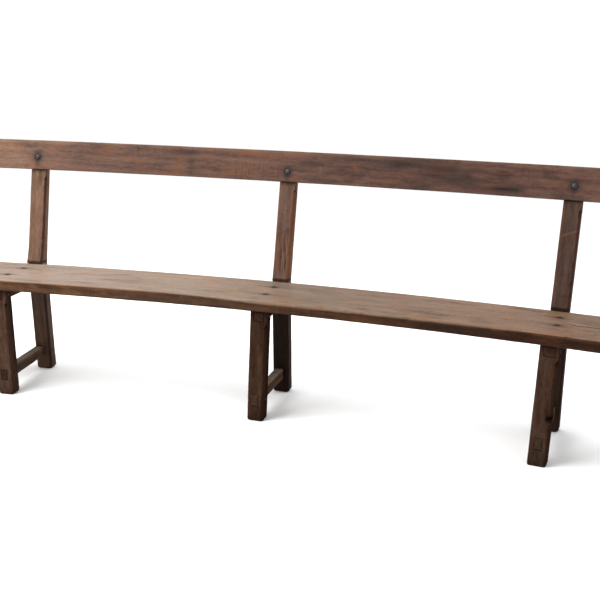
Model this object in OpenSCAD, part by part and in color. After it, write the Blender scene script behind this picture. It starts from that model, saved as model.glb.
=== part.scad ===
// Curved church pew: one plank seat and one plank back rail on three pegged trestle frames.
// The frames stand on radii of the seat's curve, so both ends of the pew come forward.
// Millimetres, +Z up, floor at z = 0, the sitter faces -Y.

/* [Plan] */
// Radius of the seat's back edge in plan
curve_r = 7510; // [6500:10:12000]
// Length of the seat along its back edge
bench_len = 2740; // [2500:10:3000]
// Left frame's place along the curve
left_at = -997; // [-1050:1:-950]
// Middle frame's place along the curve
middle_at = 1; // [-20:1:20]
// Right frame's place along the curve
right_at = 1010; // [950:1:1050]

/* [Seat plank] */
// Height of the seat's top above the floor
seat_h = 450; // [430:1:470]
// Depth of the seat from front to back
seat_d = 327; // [315:1:345]
// Thickness of the seat plank
seat_t = 39; // [30:0.5:42]
// Rounding of the worn front edge
seat_round = 9; // [3:0.5:12]
// Rounding of the seat's other edges
seat_ease = 2; // [1:0.5:4]

/* [Back rail] */
// Lean of the back posts and the rail from the vertical
back_lean = 10.4; // [8:0.1:13]
// Height of the rail's lower front edge above the floor
rail_bottom = 818; // [790:1:840]
// Width of the rail measured up its leaning face
rail_w = 113.5; // [95:0.5:130]
// Thickness of the rail
rail_t = 30; // [26:0.5:36]
// How far the rail stands proud of the posts' front faces
rail_proud = 15; // [12:0.5:18]
// Rounding of the rail's edges
rail_round = 3; // [2:0.5:6]

/* [Rear posts] */
// Width of a rear post
post_w = 62.5; // [54:0.5:68]
// Depth of a rear post at the floor
post_foot_d = 46; // [42:0.5:50]
// Depth of a rear post at the seat
post_seat_d = 44; // [41:0.5:48]
// Depth of a rear post at the rail's lower edge
post_top_d = 34; // [32:0.5:38]
// How far a rear foot stands behind the seat's back edge
post_splay = 48.7; // [30:0.1:60]
// Gap between the seat's top and the shoulder of the post's notch
notch_gap = 2.5; // [1:0.5:12]
// How far the left post's shoulder stands over the seat
left_flare = 12; // [3:0.5:14]
// How far the other posts' shoulders stand over the seat
flare = 5; // [3:0.5:14]
// Height over which the flare fades out above the shoulder
flare_h = 95; // [70:1:120]
// How far the posts stop short of the rail's top edge
post_short = 4; // [2:0.5:8]

/* [Front legs] */
// Width of a front leg
leg_w = 60.5; // [54:0.5:66]
// Depth of a front leg from front to back
leg_d = 46; // [42:0.5:50]
// How far a leg's front face stands before the seat's back edge at the leg's top
leg_top = 302; // [294:0.5:306]
// How far a leg's front face stands before the seat's back edge at the floor
leg_foot = 282; // [276:0.5:298]
// Chamfer on the right front corner of legs and posts
arris = 7; // [5:0.5:10]
// Rounding of the worn corners of the feet
foot_round = 11; // [6:0.5:14]

/* [Bearers and stretchers] */
// Width of a bearer
bearer_w = 44; // [40:0.5:48]
// Height of a bearer
bearer_h = 41.5; // [38:0.5:44]
// Width of a bearer's tenon
bearer_tenon_w = 36; // [28:0.5:38]
// Height of a bearer's tenon
bearer_tenon_h = 32; // [28:0.5:34]
// Width of a stretcher
stretcher_w = 32; // [30:0.5:36]
// Height of a stretcher
stretcher_h = 41; // [38:0.5:44]
// Height of a stretcher's lower face above the floor
stretcher_z = 58; // [50:1:70]
// Width of a stretcher's tenon
stretcher_tenon_w = 26; // [22:0.5:28]
// Diameter of the pegs that lock the tenons
peg_d = 10; // [8:0.5:12]

/* [Fasteners] */
// Height of the outer frames' carriage bolts above the floor
bolt_h = 865; // [855:1:875]
// Diameter of a carriage bolt's shank
bolt_d = 9.5; // [8:0.5:12]
// Diameter of a carriage bolt's domed head
bolt_head_d = 22; // [20:0.5:26]
// Height of a carriage bolt's domed head
bolt_head_h = 6; // [4:0.5:8]
// Side of the square nut
nut_side = 17; // [15:0.5:20]
// Thickness of the square nut
nut_t = 8; // [6:0.5:10]
// Diameter of the washer under the nut
washer_d = 26; // [24:0.5:30]
// Diameter of a seat nail's head
nail_head_d = 16; // [8:0.5:18]
// Depth of a seat nail's head below the seat's top
nail_sink = 2; // [1:0.5:4]
// Length of a seat nail's shank
nail_len = 64; // [55:1:68]

/* [Hidden] */

// Frames are numbered from the left. The timbers were set out by hand, so they sit a few
// millimetres to either side of their post's centre line.
LEFT = 0;
MIDDLE = 1;
RIGHT = 2;
frame_at = [left_at, middle_at, right_at];
shoulder_over = [left_flare, flare, flare];
leg_top_u = [-11, 17, 14];
leg_foot_u = [-3, 4, 5.5];
stretcher_front_u = [-8, 1, 5];
stretcher_back_u = [-13, -5, 0];

// Each frame's two nails: distances behind the seat's back edge, and shift from the bearer's middle
nail_back = [[-96, -218], [-96, -218], [-92, -200]];
nail_shift = [0, 0, 7.5];
nail_shank_d = 5;
nail_head_t = 3;

seat_under = seat_h - seat_t;
shoulder_z = seat_h + notch_gap;
slope = tan(back_lean);
front_lean = atan((leg_top - leg_foot) / seat_under);
rear_lean = atan(post_splay / seat_under);
half_turn = bench_len / curve_r / 2 * 180 / PI;
// An even number of steps puts one of the curve's facet corners at its middle.
curve_steps = 2 * floor(256 * half_turn / 360);
curve_fn = floor(curve_steps * 180 / half_turn);

// At the seat's top the line of the posts' upper front face is this far behind the seat.
post_line_r = -1.6;
rail_lap = rail_t - rail_proud;
rail_r = post_face(rail_bottom) - rail_proud / cos(back_lean);
post_up = rail_w - post_short;
post_back = rail_proud + post_top_d;

washer_t = 2.5;
// Each bolt's height up the rail from the rail's lower edge; the middle one stands lower.
bolt_drop = 11;
bolt_up = [for (drop = [0, bolt_drop, 0]) (bolt_h - rail_bottom) / cos(back_lean) - drop];
bolt_spare = 5;
bolt_len = post_back + washer_t + nut_t + bolt_spare;
neck_t = 6;
hole_gap = 0.25;
peg_proud = 1;
bearer_z = seat_under - bearer_h;
// Height of a bearer's shoulder under its tenon
bearer_shoulder = 2;
bearer_tenon_z = bearer_z + bearer_shoulder;

// Chamfers on posts and legs stop short of the joints and run out over this length.
run_out = 10;
// The flare's chamfer runs this far past the post's bend, so that the two chamfers meet.
knee_lap = 1.5;
stop_under_rail = 32;
stop_over_seat = 4;
stop_under_seat = 56;

// Long blanks run this far past the lines that they are cut to, and cutting tools this far past
// the surfaces that they enter.
over = 30;
past = 1;
$fn = 48;

// The pew's origin is on the floor below the middle of its overall box. The seat's end corners
// reach furthest forward, and the middle bolt's end reaches furthest back.
front_y = (curve_r - seat_d) * cos(half_turn) - curve_r;
back_y = tilted(bolt_len, bolt_up[MIDDLE] + bolt_d / 2)[0];
origin_y = (front_y + back_y) / 2;

// Distance of the posts' upper front face behind the seat's back edge at height z
function post_face(z) = post_line_r + (z - seat_h) * slope;

// A point d behind the rail's front face and h up it from its lower edge, as (back, height)
function tilted(d, h) = [
    rail_r + d * cos(back_lean) + h * sin(back_lean),
    rail_bottom - d * sin(back_lean) + h * cos(back_lean)
];

// A front leg's front face and a rear post's lower front face at height z
function leg_face(z) = -leg_foot - z * tan(front_lean);
function rear_face(z) = post_splay - z * tan(rear_lean);

// Sideways place of a bearer's centre line at distance r behind the seat's back edge
function bearer_u(i, r) = leg_top_u[i] * -r / (leg_top - leg_d / 2);

// Puts its children, drawn about a frame's own centre line, at length s along the curve.
module on_curve(s) {
    translate([0, -curve_r - origin_y, 0])
        rotate([0, 0, -s / curve_r * 180 / PI])
            translate([0, curve_r, 0])
                children();
}

// Sweeps its child, a section drawn as (distance back, height), along the curve.
module along_curve() {
    translate([0, -curve_r - origin_y, 0])
        rotate([0, 0, 90 - half_turn])
            rotate_extrude(angle = 2 * half_turn, $fn = curve_fn)
                translate([curve_r, 0])
                    children();
}

// Extrudes a side outline, drawn as (distance back, height), to width w about the centre line.
module side_slab(w) {
    rotate([90, 0, 90])
        translate([0, 0, -w / 2])
            linear_extrude(w)
                children();
}

// The waste outside a rounded corner at the origin of a shape in the first quadrant.
module corner_waste(r) {
    difference() {
        translate([-past, -past])
            square(r + past);
        translate([r, r])
            circle(r);
    }
}

// A rectangle with its front corners rounded to one radius and its back corners to another.
module eased_rect(d, h, front, back) {
    difference() {
        square([d, h]);
        corner_waste(front);
        translate([0, h])
            mirror([0, 1])
                corner_waste(front);
        translate([d, 0])
            mirror([1, 0])
                corner_waste(back);
        translate([d, h])
            mirror([1, 1])
                corner_waste(back);
    }
}

// The waste of a chamfer on a right front corner. The corner runs up +Z from the origin for
// length len, and the chamfer runs out at the ends over run_low and run_high.
module arris_waste(len, run_low, run_high) {
    depth = arris / sqrt(2);
    rotate([0, 0, -45])
        rotate([90, 0, 0])
            translate([0, 0, -2 * arris])
                linear_extrude(4 * arris)
                    polygon([
                        [depth, -1.5 * run_low],
                        [-depth, 0.5 * run_low],
                        [-depth, len - 0.5 * run_high],
                        [depth, len + 1.5 * run_high]
                    ]);
}

// The right front corner's waste along a face from point a to point b, (distance back, height).
module face_arris(w, a, b, run_low, run_high) {
    lean = atan2(b[0] - a[0], b[1] - a[1]);
    translate([w / 2, a[0], a[1]])
        rotate([-lean, 0, 0])
            arris_waste(norm(b - a), run_low, run_high);
}

// The rounding of a foot's two bottom corners, with the foot centred on u.
module foot_waste(w, u, back) {
    for (side = [-1, 1])
        translate([u + side * w / 2, back, 0])
            mirror([side > 0 ? 1 : 0, 0, 0])
                rotate([90, 0, 0])
                    linear_extrude(4 * leg_d, center = true)
                        corner_waste(foot_round);
}

// A level bar along the line from sideways place front_u at a frame's leg to back_u at its post.
// It is w wide and h high, its lower face is at height z, and it runs from r = front to r = back.
module cross_bar(front_u, back_u, front, back, z, w, h) {
    translate([back_u, 0, z])
        rotate([0, 0, atan((front_u - back_u) / leg_top)])
            translate([-w / 2, front, 0])
                cube([w, back - front, h]);
}

// A front leg's squared timber before its joints, chamfers and worn corners.
module leg_timber(i) {
    intersection() {
        in_leg(i)
            translate([-leg_w / 2, 0, -over])
                cube([leg_w, leg_d, seat_h + 2 * over]);
        translate([-2 * leg_w, -2 * leg_top, 0])
            cube([4 * leg_w, 2 * leg_top, seat_under]);
    }
}

// Moves its children to a front leg's own lines, with its front face at y = 0.
module in_leg(i) {
    translate([leg_foot_u[i], -leg_foot, 0])
        rotate([front_lean, atan((leg_top_u[i] - leg_foot_u[i]) / seat_under), 0])
            children();
}

// A rear post's side outline, from its foot up its back and down its front.
module post_outline(i) {
    polygon([
        [post_splay, 0],
        [post_splay + post_foot_d, 0],
        [post_line_r + post_seat_d, seat_h],
        tilted(post_back, 0),
        tilted(post_back, post_up),
        tilted(rail_t, post_up),
        tilted(rail_t, 0),
        tilted(rail_proud, 0),
        [post_face(shoulder_z + flare_h), shoulder_z + flare_h],
        [-shoulder_over[i], shoulder_z],
        [0, shoulder_z],
        [0, seat_under]
    ]);
}

module post_timber(i) {
    side_slab(post_w)
        post_outline(i);
}

// The tenons at both ends of a bar, drawn as one long bar that passes right through the frame.
module through_bar(front_u, back_u, z, w, h) {
    cross_bar(front_u, back_u, -leg_top - over, post_splay + post_foot_d + over, z, w, h);
}

// The body of a bar, which ends inside the leg and the post.
module inner_bar(front_u, back_u, z, w, h) {
    middle = z + h / 2;
    cross_bar(front_u, back_u, leg_face(middle) + leg_d / 2,
        rear_face(middle) + post_seat_d / 2, z, w, h);
}

module bearer_tenons(i) {
    through_bar(leg_top_u[i], 0, bearer_tenon_z, bearer_tenon_w, bearer_tenon_h);
}

module stretcher_tenons(i) {
    through_bar(stretcher_front_u[i], stretcher_back_u[i], stretcher_z, stretcher_tenon_w,
        stretcher_h);
}

// A peg through a timber of width w, its middle at (u, back, height).
module peg(w, u, r, z) {
    translate([u, r, z])
        rotate([0, 90, 0])
            cylinder(h = w + 2 * peg_proud, d = peg_d, center = true);
}

// The two pegs at height z: through the front leg and through the rear post.
module peg_pair(i, z) {
    leg_u = leg_foot_u[i] + (leg_top_u[i] - leg_foot_u[i]) * z / seat_under;
    peg(leg_w, leg_u, leg_face(z) + leg_d / 2, z);
    peg(post_w, 0, rear_face(z) + post_seat_d / 2, z);
}

module bearer_peg_pair(i) {
    peg_pair(i, bearer_tenon_z + bearer_tenon_h / 2);
}

module stretcher_peg_pair(i) {
    peg_pair(i, stretcher_z + stretcher_h / 2);
}

// A seat nail with its head's top at z = 0. Its hole also has an open counterbore of this height.
module nail(counterbore) {
    translate([0, 0, -nail_head_t])
        cylinder(h = nail_head_t + counterbore, d = nail_head_d);
    translate([0, 0, -nail_head_t - nail_len])
        cylinder(h = nail_len + past, d = nail_shank_d);
}

module nail_pair(i, counterbore) {
    for (r = nail_back[i])
        translate([bearer_u(i, r) + nail_shift[i], r, seat_h - nail_sink])
            nail(counterbore);
}

// Moves its children to a bolt's own line: z = 0 on the rail's front face, +Z into the rail.
module on_bolt(i) {
    translate([0, tilted(0, bolt_up[i])[0], tilted(0, bolt_up[i])[1]])
        rotate([-90 - back_lean, 0, 0])
            children();
}

module bolt_neck() {
    translate([-bolt_d / 2, -bolt_d / 2, 0])
        cube([bolt_d, bolt_d, neck_t]);
}

module bolt_hole(i) {
    on_bolt(i) {
        bolt_neck();
        translate([0, 0, -past])
            cylinder(h = bolt_len + 2 * past, d = bolt_d + 2 * hole_gap);
    }
}

module seat_plank() {
    color([0.60, 0.51, 0.45])
        difference() {
            along_curve()
                translate([-seat_d, seat_under])
                    eased_rect(seat_d, seat_t, seat_round, seat_ease);
            for (i = [LEFT:RIGHT])
                on_curve(frame_at[i])
                    nail_pair(i, 2 * nail_sink);
        }
}

module back_rail() {
    color([0.44, 0.31, 0.26])
        difference() {
            along_curve()
                translate([rail_r, rail_bottom])
                    rotate(-back_lean)
                        eased_rect(rail_t, rail_w, rail_round, rail_round);
            for (i = [LEFT:RIGHT])
                on_curve(frame_at[i])
                    bolt_hole(i);
        }
}

module rear_post(i) {
    knee = [post_face(shoulder_z + flare_h), shoulder_z + flare_h];
    shoulder = [-shoulder_over[i], shoulder_z];
    flare_dir = (knee - shoulder) / norm(knee - shoulder);
    upper_dir = [sin(back_lean), cos(back_lean)];
    color([0.30, 0.21, 0.17])
        on_curve(frame_at[i])
            difference() {
                post_timber(i);
                face_arris(post_w, [post_splay, 0], [0, seat_under] - stop_under_seat
                    * [-sin(rear_lean), cos(rear_lean)], 0, run_out);
                face_arris(post_w, shoulder + (stop_over_seat + run_out) * flare_dir,
                    knee + knee_lap * flare_dir, run_out, 0);
                face_arris(post_w, knee, tilted(rail_proud, 0) - stop_under_rail * upper_dir,
                    0, run_out);
                foot_waste(post_w, 0, post_splay);
                bearer_tenons(i);
                stretcher_tenons(i);
                bearer_peg_pair(i);
                stretcher_peg_pair(i);
                bolt_hole(i);
            }
}

module front_leg(i) {
    color([0.28, 0.21, 0.17])
        on_curve(frame_at[i])
            difference() {
                leg_timber(i);
                in_leg(i)
                    face_arris(leg_w, [0, 0], [0, seat_under - stop_under_seat], 0, run_out);
                foot_waste(leg_w, leg_foot_u[i], -leg_foot);
                bearer_tenons(i);
                stretcher_tenons(i);
                bearer_peg_pair(i);
                stretcher_peg_pair(i);
            }
}

// The side outline of a frame from its leg's front face to its post's back face.
module frame_outline() {
    polygon([
        [leg_face(0), 0],
        [post_splay + post_foot_d, 0],
        [post_line_r + post_seat_d, seat_h],
        [leg_face(seat_h), seat_h]
    ]);
}

// A bar's body, its first child, cut to its shoulders, with its second child as its tenons.
module jointed_bar(i) {
    difference() {
        children(0);
        leg_timber(i);
        post_timber(i);
    }
    intersection() {
        children(1);
        side_slab(4 * leg_w)
            frame_outline();
    }
}

module bearer(i) {
    color([0.33, 0.26, 0.22])
        on_curve(frame_at[i])
            difference() {
                jointed_bar(i) {
                    inner_bar(leg_top_u[i], 0, bearer_z, bearer_w, bearer_h);
                    bearer_tenons(i);
                }
                bearer_peg_pair(i);
                nail_pair(i, 0);
            }
}

module stretcher(i) {
    color([0.42, 0.37, 0.33])
        on_curve(frame_at[i])
            difference() {
                jointed_bar(i) {
                    inner_bar(stretcher_front_u[i], stretcher_back_u[i], stretcher_z,
                        stretcher_w, stretcher_h);
                    stretcher_tenons(i);
                }
                stretcher_peg_pair(i);
            }
}

module bearer_pegs(i) {
    color([0.38, 0.28, 0.21])
        on_curve(frame_at[i])
            bearer_peg_pair(i);
}

module stretcher_pegs(i) {
    color([0.38, 0.28, 0.21])
        on_curve(frame_at[i])
            stretcher_peg_pair(i);
}

module seat_nails(i) {
    color([0.20, 0.19, 0.18])
        on_curve(frame_at[i])
            nail_pair(i, 0);
}

module carriage_bolt(i) {
    ball_r = (bolt_head_d * bolt_head_d / 4 + bolt_head_h * bolt_head_h) / (2 * bolt_head_h);
    color([0.27, 0.27, 0.27])
        on_curve(frame_at[i])
            on_bolt(i) {
                intersection() {
                    translate([0, 0, ball_r - bolt_head_h])
                        sphere(ball_r);
                    translate([0, 0, -bolt_head_h])
                        cylinder(h = bolt_head_h, d = bolt_head_d + 2 * past);
                }
                bolt_neck();
                cylinder(h = bolt_len, d = bolt_d);
            }
}

module bolt_washer(i) {
    color([0.30, 0.29, 0.28])
        on_curve(frame_at[i])
            on_bolt(i)
                translate([0, 0, post_back])
                    difference() {
                        cylinder(h = washer_t, d = washer_d);
                        translate([0, 0, -past])
                            cylinder(h = washer_t + 2 * past, d = bolt_d + 2 * hole_gap);
                    }
}

module bolt_nut(i) {
    color([0.25, 0.24, 0.24])
        on_curve(frame_at[i])
            on_bolt(i)
                translate([0, 0, post_back + washer_t])
                    difference() {
                        translate([-nut_side / 2, -nut_side / 2, 0])
                            cube([nut_side, nut_side, nut_t]);
                        translate([0, 0, -past])
                            cylinder(h = nut_t + 2 * past, d = bolt_d);
                    }
}

seat_plank();
back_rail();
rear_post(LEFT);  // left_rear_post
front_leg(LEFT);  // left_front_leg
bearer(LEFT);  // left_bearer
stretcher(LEFT);  // left_stretcher
bearer_pegs(LEFT);  // left_bearer_pegs
stretcher_pegs(LEFT);  // left_stretcher_pegs
seat_nails(LEFT);  // left_seat_nails
carriage_bolt(LEFT);  // left_carriage_bolt
bolt_washer(LEFT);  // left_bolt_washer
bolt_nut(LEFT);  // left_bolt_nut
rear_post(MIDDLE);  // middle_rear_post
front_leg(MIDDLE);  // middle_front_leg
bearer(MIDDLE);  // middle_bearer
stretcher(MIDDLE);  // middle_stretcher
bearer_pegs(MIDDLE);  // middle_bearer_pegs
stretcher_pegs(MIDDLE);  // middle_stretcher_pegs
seat_nails(MIDDLE);  // middle_seat_nails
carriage_bolt(MIDDLE);  // middle_carriage_bolt
bolt_washer(MIDDLE);  // middle_bolt_washer
bolt_nut(MIDDLE);  // middle_bolt_nut
rear_post(RIGHT);  // right_rear_post
front_leg(RIGHT);  // right_front_leg
bearer(RIGHT);  // right_bearer
stretcher(RIGHT);  // right_stretcher
bearer_pegs(RIGHT);  // right_bearer_pegs
stretcher_pegs(RIGHT);  // right_stretcher_pegs
seat_nails(RIGHT);  // right_seat_nails
carriage_bolt(RIGHT);  // right_carriage_bolt
bolt_washer(RIGHT);  // right_bolt_washer
bolt_nut(RIGHT);  // right_bolt_nut
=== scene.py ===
"""A curved church pew of old oak: a plank seat and a plank back rail on three pegged frames."""
import math

import bmesh
import bpy
import numpy as np
from mathutils import Matrix, Vector
from mathutils.kdtree import KDTree


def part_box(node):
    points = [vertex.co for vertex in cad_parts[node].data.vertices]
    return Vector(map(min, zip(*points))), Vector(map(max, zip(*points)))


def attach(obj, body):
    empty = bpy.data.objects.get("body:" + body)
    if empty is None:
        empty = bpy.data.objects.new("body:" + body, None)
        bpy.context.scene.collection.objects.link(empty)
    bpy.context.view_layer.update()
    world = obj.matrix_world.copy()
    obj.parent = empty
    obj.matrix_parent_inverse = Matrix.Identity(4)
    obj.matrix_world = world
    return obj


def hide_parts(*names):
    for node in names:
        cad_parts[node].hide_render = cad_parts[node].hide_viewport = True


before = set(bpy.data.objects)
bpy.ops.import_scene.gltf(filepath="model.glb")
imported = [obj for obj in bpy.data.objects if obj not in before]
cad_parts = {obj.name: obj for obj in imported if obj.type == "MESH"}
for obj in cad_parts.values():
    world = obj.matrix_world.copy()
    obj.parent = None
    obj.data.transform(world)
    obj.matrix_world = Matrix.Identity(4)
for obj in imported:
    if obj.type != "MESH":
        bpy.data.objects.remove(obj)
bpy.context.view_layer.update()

# ---------------------------------------------------------------- the design's driving sizes
# Metres. s runs along the curve to the right, u sideways from a frame's centre line, r back
# from the seat's back edge and z up from the floor.
CURVE_R = 7.510
SEAT_LEN = 2.740
SEAT_DEPTH = 0.327
SEAT_LOW, SEAT_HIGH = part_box("seat_plank")
SEAT_TOP = SEAT_HIGH.z
SEAT_UNDER = SEAT_LOW.z
HALF_TURN = SEAT_LEN / 2 / CURVE_R
ORIGIN_Y = (CURVE_R - SEAT_DEPTH) * math.cos(HALF_TURN) - CURVE_R - SEAT_LOW.y

LEAN = math.radians(10.4)
RAIL_BOTTOM = 0.818
RAIL_W = 0.1135
RAIL_T = 0.030
RAIL_PROUD = 0.015
POST_LINE = -0.0016

POST_W = 0.0625
POST_FOOT_D = 0.046
POST_SEAT_D = 0.044
POST_TOP_D = 0.034
POST_SPLAY = 0.0487
POST_UP = RAIL_W - 0.004
# Depth of a post's rear face behind the rail's front face.
POST_REAR = RAIL_PROUD + POST_TOP_D
SHOULDER_Z = SEAT_TOP + 0.0025
FLARE_H = 0.095
STOP_UNDER_RAIL = 0.032
STOP_UNDER_SEAT = 0.056

LEG_W = 0.0605
LEG_D = 0.04605
LEG_TOP = 0.302
LEG_FOOT = 0.282
WORN_ARRIS = 0.0018
RUN_OUT = 0.010
FOOT_ROUND = 0.011
FOOT_EASE = 0.0045

# Each cross bar's width, height and underside, and the same of its tenons.
BEARER_Z = SEAT_UNDER - 0.0415
BARS = {
    "bearer": {"w": 0.044, "h": 0.0415, "z": BEARER_Z,
               "tenon_w": 0.036, "tenon_h": 0.032, "tenon_z": BEARER_Z + 0.002},
    "stretcher": {"w": 0.032, "h": 0.041, "z": 0.058,
                  "tenon_w": 0.026, "tenon_h": 0.041, "tenon_z": 0.058},
}
JOINT_GAP = 0.00025
PEG_R = 0.005

BOLT_UP = (0.865 - RAIL_BOTTOM) / math.cos(LEAN)
BOLT_R = 0.00475
BOLT_HEAD_R = 0.011
BOLT_HEAD_H = 0.006
BOLT_SPARE = 0.005
BOLT_SIDES = 32
RAIL_HOLE_R = BOLT_R + 0.0012
POST_HOLE_R = BOLT_R + 0.0006
THREAD_LEN = 0.022
THREAD_PITCH = 0.0016
THREAD_DEPTH = 0.0006
NUT_SIDE = 0.017
NUT_T = 0.008
WASHER_R = 0.013
WASHER_T = 0.0025
RING_SIDES = 64
CORNER_REACH = 1.34
NAIL_HEAD_R = 0.008
NAIL_SINK = 0.002
NAIL_SHANK_R = 0.0025
NAIL_LEN = 0.064
NAIL_HOLE_R = NAIL_SHANK_R + 0.0003
NAIL_WELL = 0.0056
NAIL_WELL_R = NAIL_HEAD_R + 0.0004

# Each frame's place along the curve, where its hand-set timbers stand sideways of its post, and how dark
# its post is painted below the seat as shade.
FRAMES = {
    "left": {"at": -0.997, "flare": 0.012, "leg_top_u": -0.011, "leg_foot_u": -0.003,
             "bar_front_u": -0.008, "bar_back_u": -0.013, "foot_wear": 1.0, "under_seat_shade": 0.58,
             "arris": 0.0056, "tenon_grime": 0.50,
             "nail_back": (-0.096, -0.218), "nail_shift": 0.0, "bolt_up": BOLT_UP},
    "middle": {"at": 0.001, "flare": 0.005, "leg_top_u": 0.017, "leg_foot_u": 0.004,
               "bar_front_u": 0.001, "bar_back_u": -0.005, "foot_wear": 0.8, "under_seat_shade": 0.92,
               "arris": 0.0064, "tenon_grime": 0.10,
               "nail_back": (-0.096, -0.218), "nail_shift": 0.0, "bolt_up": BOLT_UP - 0.011},
    "right": {"at": 1.010, "flare": 0.005, "leg_top_u": 0.014, "leg_foot_u": 0.0055,
              "bar_front_u": 0.005, "bar_back_u": 0.0, "foot_wear": 0.35, "under_seat_shade": 0.60,
              "arris": 0.0070, "tenon_grime": 0.30,
              "nail_back": (-0.092, -0.200), "nail_shift": 0.0075, "bolt_up": BOLT_UP},
}


def post_face(z):
    """Distance of the posts' upper front face behind the seat's back edge at height z."""
    return POST_LINE + (z - SEAT_TOP) * math.tan(LEAN)


RAIL_R = post_face(RAIL_BOTTOM) - RAIL_PROUD / math.cos(LEAN)


def tilted(d, h):
    """Points d behind the rail's front face and h up it from its lower edge, as (r, z)."""
    return (RAIL_R + d * math.cos(LEAN) + h * math.sin(LEAN),
            RAIL_BOTTOM - d * math.sin(LEAN) + h * math.cos(LEAN))


def leg_face(z):
    return -LEG_FOOT - z * (LEG_TOP - LEG_FOOT) / SEAT_UNDER


def rear_face(z):
    return POST_SPLAY * (1 - z / SEAT_UNDER)


def post_back(z):
    """Distance back of a post's rear face below the seat's top."""
    foot = POST_SPLAY + POST_FOOT_D
    return foot + (POST_LINE + POST_SEAT_D - foot) * z / SEAT_TOP


def place(s, u, r, z):
    """Points of the pew from their places along, across and up, as an array (..., 3)."""
    turn = np.asarray(s, float) / CURVE_R
    x = u * np.cos(turn) + (CURVE_R + r) * np.sin(turn)
    y = (CURVE_R + r) * np.cos(turn) - u * np.sin(turn) - CURVE_R - ORIGIN_Y
    return np.stack(np.broadcast_arrays(x, y, z), -1)


def point_at(s, u, r, z):
    """One point of the pew, as a vector."""
    return Vector(place(s, u, r, z))


UP = Vector((0, 0, 1))


def frame_axes(timber):
    """A frame's own directions: across to the right, and straight back."""
    turn = timber["at"] / CURVE_R
    return Vector((math.cos(turn), -math.sin(turn), 0)), Vector((math.sin(turn), math.cos(turn), 0))


def stand(axes, where):
    """The matrix that lays a thing's x, y and z along three directions at a point."""
    return Matrix.Translation(where) @ Matrix(axes).transposed().to_4x4()


# ---------------------------------------------------------------- noise
def lattice(ix, iy, iz, seed):
    value = np.sin(ix * 127.1 + iy * 311.7 + iz * 74.7 + seed * 53.3) * 43758.5453
    return (value - np.floor(value)) * 2 - 1


def noise(x, y, z, seed):
    """Smooth value noise between -1 and 1 on arrays."""
    x, y, z = np.broadcast_arrays(x, y, z)
    cell = [np.floor(v) for v in (x, y, z)]
    part = [v - c for v, c in zip((x, y, z), cell)]
    part = [p * p * (3 - 2 * p) for p in part]
    total = 0.0
    for corner in range(8):
        step = (corner & 1, corner >> 1 & 1, corner >> 2 & 1)
        weight = 1.0
        for p, k in zip(part, step):
            weight = weight * (p if k else 1 - p)
        total = total + weight * lattice(*(c + k for c, k in zip(cell, step)), seed)
    return total


def hump(x):
    """One at zero, falling smoothly to nothing at -1 and 1."""
    return np.clip(1 - np.abs(x), 0, 1) ** 2 * (1 + 2 * np.clip(np.abs(x), 0, 1))


# ---------------------------------------------------------------- sections and lofts
CORNER_POINTS = 7
EASE = 0.0012
WEAR_REACH = 0.006
SWING = 0.35
DEEP_CHIP = 0.0022


def chamfer(size):
    """Distances of a chamfer's points along its two faces from the corner, with eased edges."""
    ease = np.minimum(EASE, 0.35 * size)
    zero = np.zeros_like(size)
    a = [size + ease, size + 0.12 * ease, size - 0.7 * ease, size / 2, 0.7 * ease, 0.13 * ease, zero]
    b = a[::-1]
    return np.stack(a, -1), np.stack(b, -1)


def rounding(size):
    """Distances of a rounded corner's points along its two faces from the corner."""
    turn = np.linspace(0, math.pi / 2, CORNER_POINTS)
    return size[:, None] * (1 - np.sin(turn)), size[:, None] * (1 - np.cos(turn))


def section(width, depth, sizes, shapes, faces):
    """Rectangular sections (stations, points, 2), x across and y back, corners from front right.

    sizes and shapes give the four corners: front right, back right, back left, front left.
    faces gives where the points lie along the front, right, back and left faces, from 0 to 1.
    Gives the points, and their wear, which fades away from the corners.
    """
    half = width / 2
    zero = np.zeros_like(half)
    corners = [(half, zero), (half, depth), (-half, depth), (-half, zero)]
    inward = [(1, 0), (0, 1), (-1, 0), (0, -1)]
    turned = [(0, 1), (-1, 0), (0, -1), (1, 0)]
    arcs = []
    for (cx, cy), come, go, size, shape in zip(corners, inward, turned, sizes, shapes):
        a, b = shape(size)
        x = cx[:, None] - a * come[0] + b * go[0]
        y = cy[:, None] - a * come[1] + b * go[1]
        arcs.append(np.stack([x, y], -1))
    loop = []
    for k in range(4):
        start = arcs[k - 1][:, -1:]
        end = arcs[k][:, :1]
        part = np.asarray(faces[k])
        part = np.broadcast_to(part, (len(half), part.shape[-1]))[..., None]
        loop += [start + (end - start) * part, arcs[k]]
    loop = np.concatenate(loop, 1)
    reach = np.full(loop.shape[:2], 1.0)
    for cx, cy in corners:
        gap = np.hypot(loop[..., 0] - cx[:, None], loop[..., 1] - cy[:, None])
        reach = np.minimum(reach, gap)
    return loop, np.exp(-reach / WEAR_REACH)


def even(count):
    """Places of that many points spread evenly inside a face."""
    return np.arange(1, count + 1) / (count + 1)


def weather(loop, along, seed, deep=0.0007, fine=0.00025, tool=0.0):
    """Pulls a section's points inward by hollows along the grain, small dents and plane marks."""
    step = np.roll(loop, -1, 1) - np.roll(loop, 1, 1)
    length = np.maximum(np.hypot(step[..., 0], step[..., 1]), 1e-9)
    out = np.stack([step[..., 1], -step[..., 0]], -1) / length[..., None]
    x, y, t = loop[..., 0], loop[..., 1], along[:, None]
    hollow = 0.5 + 0.5 * noise(x / 0.045, y / 0.045, t / 0.16, seed)
    dent = 0.5 + 0.5 * noise(x / 0.009, y / 0.009, t / 0.035, seed + 1)
    scallop = 0.5 + 0.5 * noise(x / 0.028, y / 0.028, t / 0.012, seed + 2)
    depth = deep * hollow + fine * dent + tool * scallop
    return loop - out * depth[..., None]


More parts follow.
